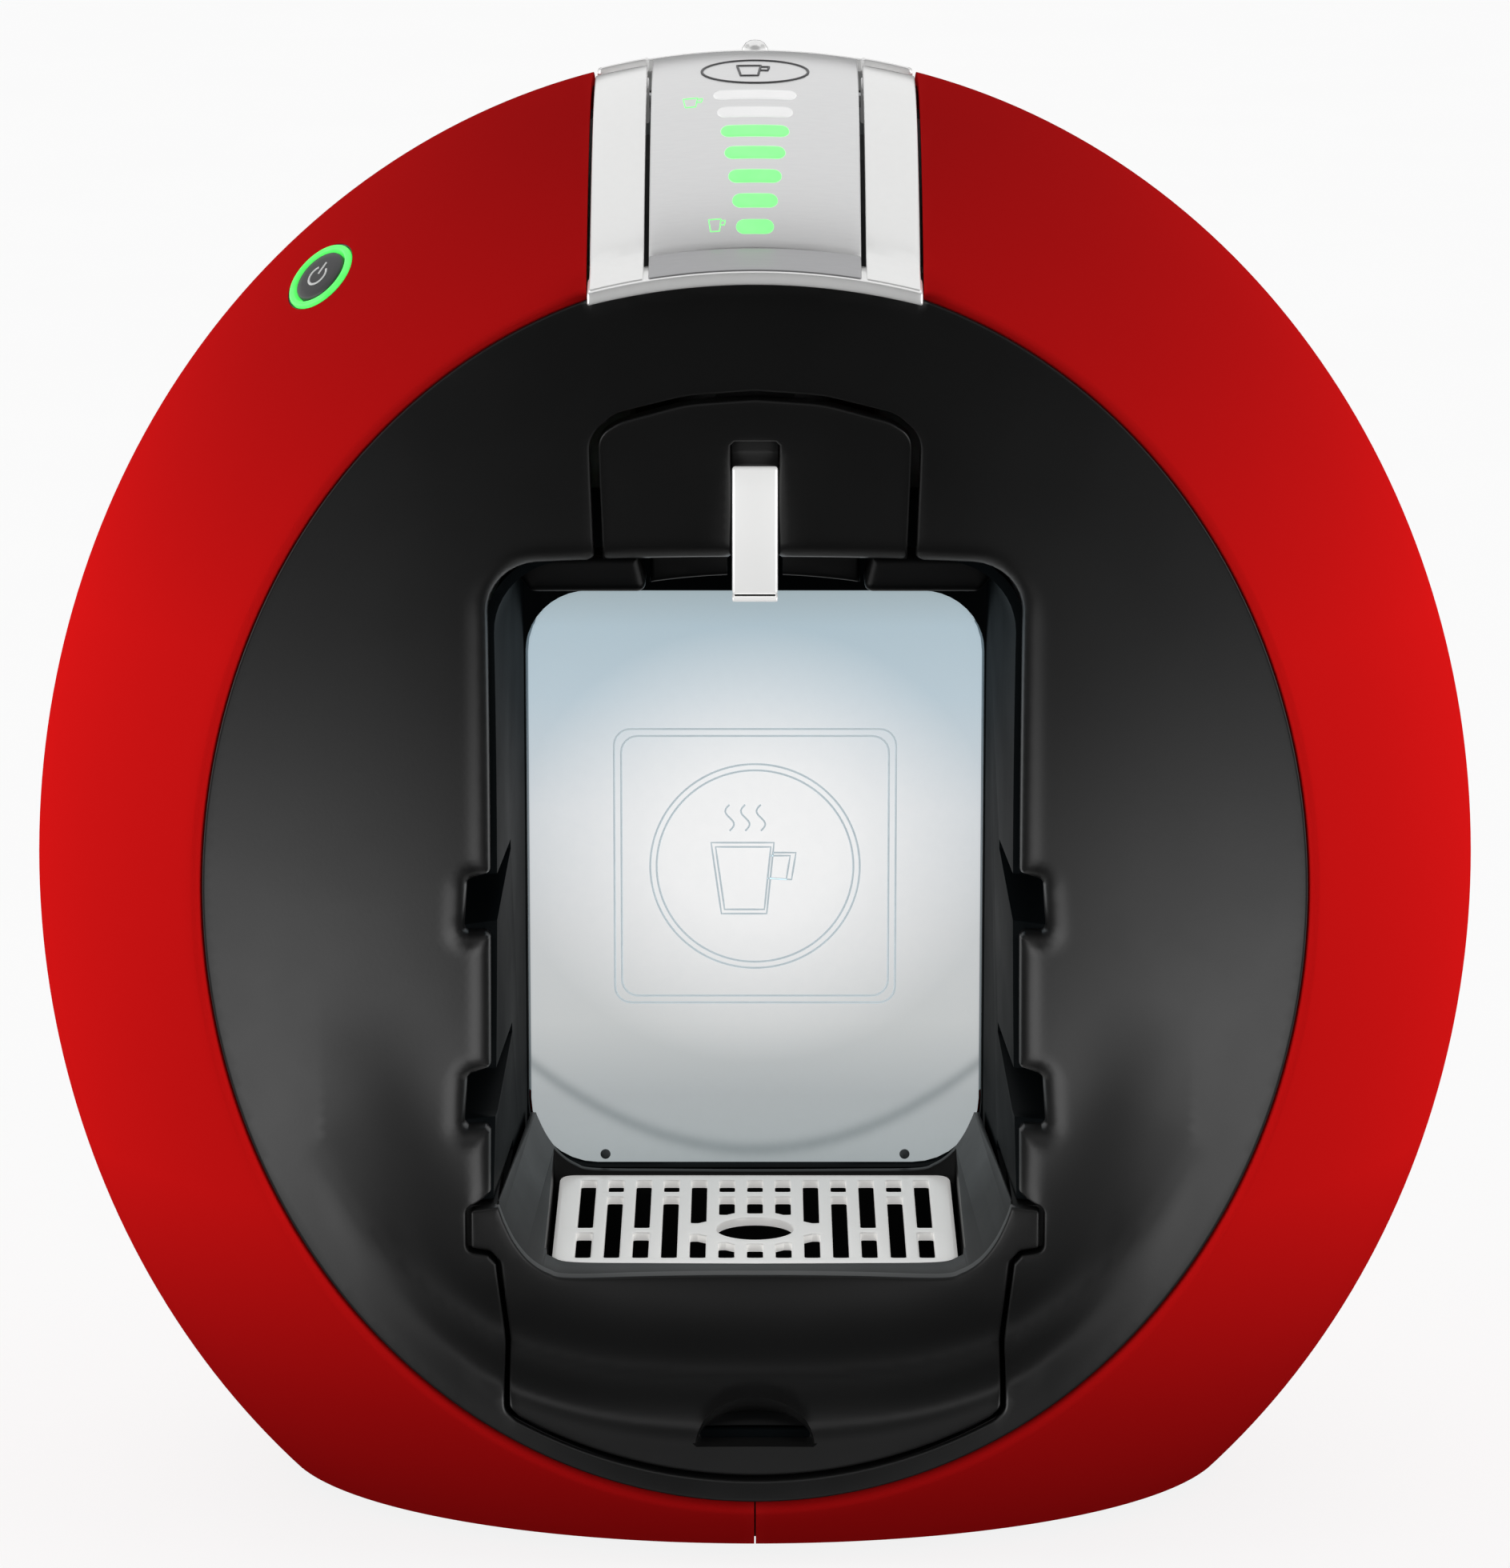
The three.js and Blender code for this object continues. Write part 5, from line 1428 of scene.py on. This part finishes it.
def build_button():
    right = Vector((0, 0, 1)).cross(BUTTON_AXIS).normalized()
    up = BUTTON_AXIS.cross(right).normalized()
    at = lambda u, v, w: BUTTON + right * u + up * v + BUTTON_AXIS * w
    ring = [(6.2, -5), (6.2, -0.1), (6.45, 0.22), (6.9, 0.32), (7.3, 0.22), (7.6, -0.15), (7.6, -5),
            (6.2, -5)]
    halo = soften(lathe("halo", ring, BUTTON, BUTTON_AXIS, 96), 50)
    piece(halo, "button_halo", "green_guide", stands_for=["power_light_ring"], material=ring_green)
    cap = [(0, -7), (5.75, -7), (5.75, -0.35), (5.6, 0.02), (5.3, 0.2), (4, 0.34), (2, 0.42), (0, 0.44)]
    button = soften(lathe("cap", cap, BUTTON, BUTTON_AXIS, 96), 50)
    piece(button, "button_cap", "button_grey", "button", stands_for=["power_button"])
    seat = [(7.65, -3), (7.65, -0.5), (7.95, -0.35), (8.15, -0.6), (8.15, -3), (7.65, -3)]
    piece(soften(lathe("seat", seat, BUTTON, BUTTON_AXIS, 96), 50), "button_seat", "black_satin")
    turns = np.linspace(math.radians(125), math.radians(415), 40)
    arc = [at(2.15 * math.cos(a), -0.25 + 2.15 * math.sin(a), 0.42) for a in turns]
    bar = [at(0, v, 0.44) for v in (0.1, 1.0, 2.0, 2.9)]
    normal = tuple(BUTTON_AXIS)
    sign = merged("sign", [tube("line", arc, 0.27, False, 8, normal, 0.4),
                           tube("line", bar, 0.27, False, 8, normal, 0.4)])
    piece(sign, "power_symbol", "button_grey", "button", material=white_ink)


# ---- water tank --------------------------------------------------------------------------------------


def build_tank():
    drum = tank_channel(TANK_RADIUS, TANK_FRONT_Y, 140, LID_Z - 0.3)
    combine(drum, [egg_solid(0.0, TANK_BACK_DEPTH)], "INTERSECT")
    room = tank_channel(TANK_RADIUS - 2.2, TANK_FRONT_Y + 2.2, 150, LID_Z + 5)
    combine(room, [egg_solid(2.2, TANK_BACK_DEPTH)], "INTERSECT")
    combine(drum, [room, rod(3.0, (0, COUPLING_Y, 45), (0, COUPLING_Y, 60))])
    piece(soften(drum, 30), "tank_jar", "clear_tank", "tank", stands_for=["water_tank"])

    lid = block(-71.2, 71.2, TANK_FRONT_Y, 140, LID_Z, 320)
    combine(lid, [egg_solid(0.0, TANK_BACK_DEPTH)], "INTERSECT")
    room = block(-69.0, 69.0, TANK_FRONT_Y + 2.2, 150, LID_Z - 1, 320)
    combine(room, [egg_solid(2.2, TANK_BACK_DEPTH)], "INTERSECT")
    combine(lid, [room])
    piece(soften(lid, 30), "lid_cap", "black_satin", "lid", stands_for=["tank_lid"])


ring_green = glowing("ring_green", (0.14, 1.0, 0.17), (0.05, 0.75, 0.08), 0.85)
# Painted light: the panel's embossed lines glow with the panel, though no lamp lights them.
emboss_painted_glow = glowing("panel_lines", (0.60, 0.70, 0.75), (0.70, 0.79, 0.83), 0.55)

build_bay()
build_panel()
build_drawer()
build_tray()
build_grid()
build_top()
build_button()
build_tank()

# ---- light and floor -----------------------------------------------------------------------------

camera_data = bpy.data.cameras.new("camera")
camera_data.lens = 152.26
camera_data.sensor_width = 36
camera = bpy.data.objects.new("camera", camera_data)
camera.location = (0, -1.32549, 0.4297)
camera.rotation_euler = (math.radians(77.432), 0, 0)
bpy.context.scene.collection.objects.link(camera)
bpy.context.scene.camera = camera


def build_floor():
    """A pale studio floor that is evenly lit from below, and throws no light on the machine."""
    mesh = bpy.data.meshes.new("floor")
    size = 12
    mesh.from_pydata([(-size, -size, 0), (size, -size, 0), (size, size, 0), (-size, size, 0)], [],
                     [(0, 1, 2, 3)])
    floor = bpy.data.objects.new("floor", mesh)
    bpy.context.scene.collection.objects.link(floor)
    floor.visible_diffuse = False
    floor.visible_glossy = False
    mesh.materials.append(moulded("floor_paint", (0.16, 0.16, 0.16), (0.15, 0.15, 0.15), (0.8, 0.9), 40,
                                  0.0001, Specular_IOR_Level=0.0, Emission_Color=(1, 1, 1, 1),
                                  Emission_Strength=0.86))


def build_light():
    """Soft light: bright to both sides, dim in front, above and below, with a white card on top."""
    world = bpy.data.worlds.new("studio")
    bpy.context.scene.world = world
    world.use_nodes = True
    tree = world.node_tree

    def node(kind, inputs=(), **settings):
        made = tree.nodes.new(kind)
        for key, value in settings.items():
            setattr(made, key, value)
        for socket, value in zip(made.inputs, inputs):
            if isinstance(value, bpy.types.NodeSocket):
                tree.links.new(value, socket)
            else:
                socket.default_value = value
        return made

    def ramp(source, stops):
        made = node("ShaderNodeValToRGB", [source])
        elements = made.color_ramp.elements
        while len(elements) < len(stops):
            elements.new(0.5)
        for element, (position, level) in zip(elements, stops):
            element.position = position
            element.color = (level, level, level, 1)
        return made.outputs["Color"]

    direction = node("ShaderNodeTexCoord").outputs["Generated"]
    split = node("ShaderNodeSeparateXYZ", [direction])
    height = node("ShaderNodeMapRange", [split.outputs["Z"], -1.0, 1.0]).outputs["Result"]
    sideways = node("ShaderNodeMath", [split.outputs["X"]], operation="ABSOLUTE").outputs[0]
    depth = node("ShaderNodeMapRange", [split.outputs["Y"], -1.0, 1.0]).outputs["Result"]
    by_height = ramp(height, LIGHT_BY_HEIGHT)
    by_side = ramp(sideways, LIGHT_BY_SIDE)
    by_depth = ramp(depth, LIGHT_BY_DEPTH)
    level = node("ShaderNodeMath", [by_height, by_side], operation="MULTIPLY").outputs[0]
    level = node("ShaderNodeMath", [level, by_depth], operation="MULTIPLY").outputs[0]
    level = node("ShaderNodeMath", [level, LIGHT_LEVEL], operation="MULTIPLY").outputs[0]
    card = CARD_LEVEL
    for source, inner, outer in ((sideways, 0.56, 0.70), (split.outputs["Y"], -0.22, -0.34),
                                 (split.outputs["Z"], 0.36, 0.24)):
        edge = node("ShaderNodeMapRange", [source, outer, inner, 0.0, 1.0]).outputs["Result"]
        card = node("ShaderNodeMath", [edge, card], operation="MULTIPLY").outputs[0]
    level = node("ShaderNodeMath", [level, card], operation="MAXIMUM").outputs[0]
    background = tree.nodes["Background"]
    background.inputs["Color"].default_value = (1, 1, 1, 1)
    tree.links.new(level, background.inputs["Strength"])


# Brightness by direction: straight down to straight up, middle to side, and front to back.
LIGHT_BY_HEIGHT = [(0.0, 0.04), (0.26, 0.08), (0.38, 0.30), (0.46, 0.85), (0.54, 1.0), (0.62, 0.66),
                   (0.74, 0.20), (1.0, 0.05)]
LIGHT_BY_SIDE = [(0.0, 0.07), (0.34, 0.10), (0.52, 0.36), (0.68, 1.0), (0.8, 1.0), (1.0, 0.8)]
LIGHT_BY_DEPTH = [(0.0, 1.0), (0.45, 1.0), (0.6, 0.62), (1.0, 0.45)]
LIGHT_LEVEL = 3.3
CARD_LEVEL = 0.86

build_floor()
build_light()
bpy.context.scene.view_settings.view_transform = "Standard"

# ---- CAD pieces that stay ------------------------------------------------------------------------

for part in frame["record"]["subparts"]:
    obj = frame["nodes"][part["node"]]
    for index in range(len(obj.material_slots)):
        obj.material_slots[index].material = SLOT_MATERIALS[part["material_slot"]]
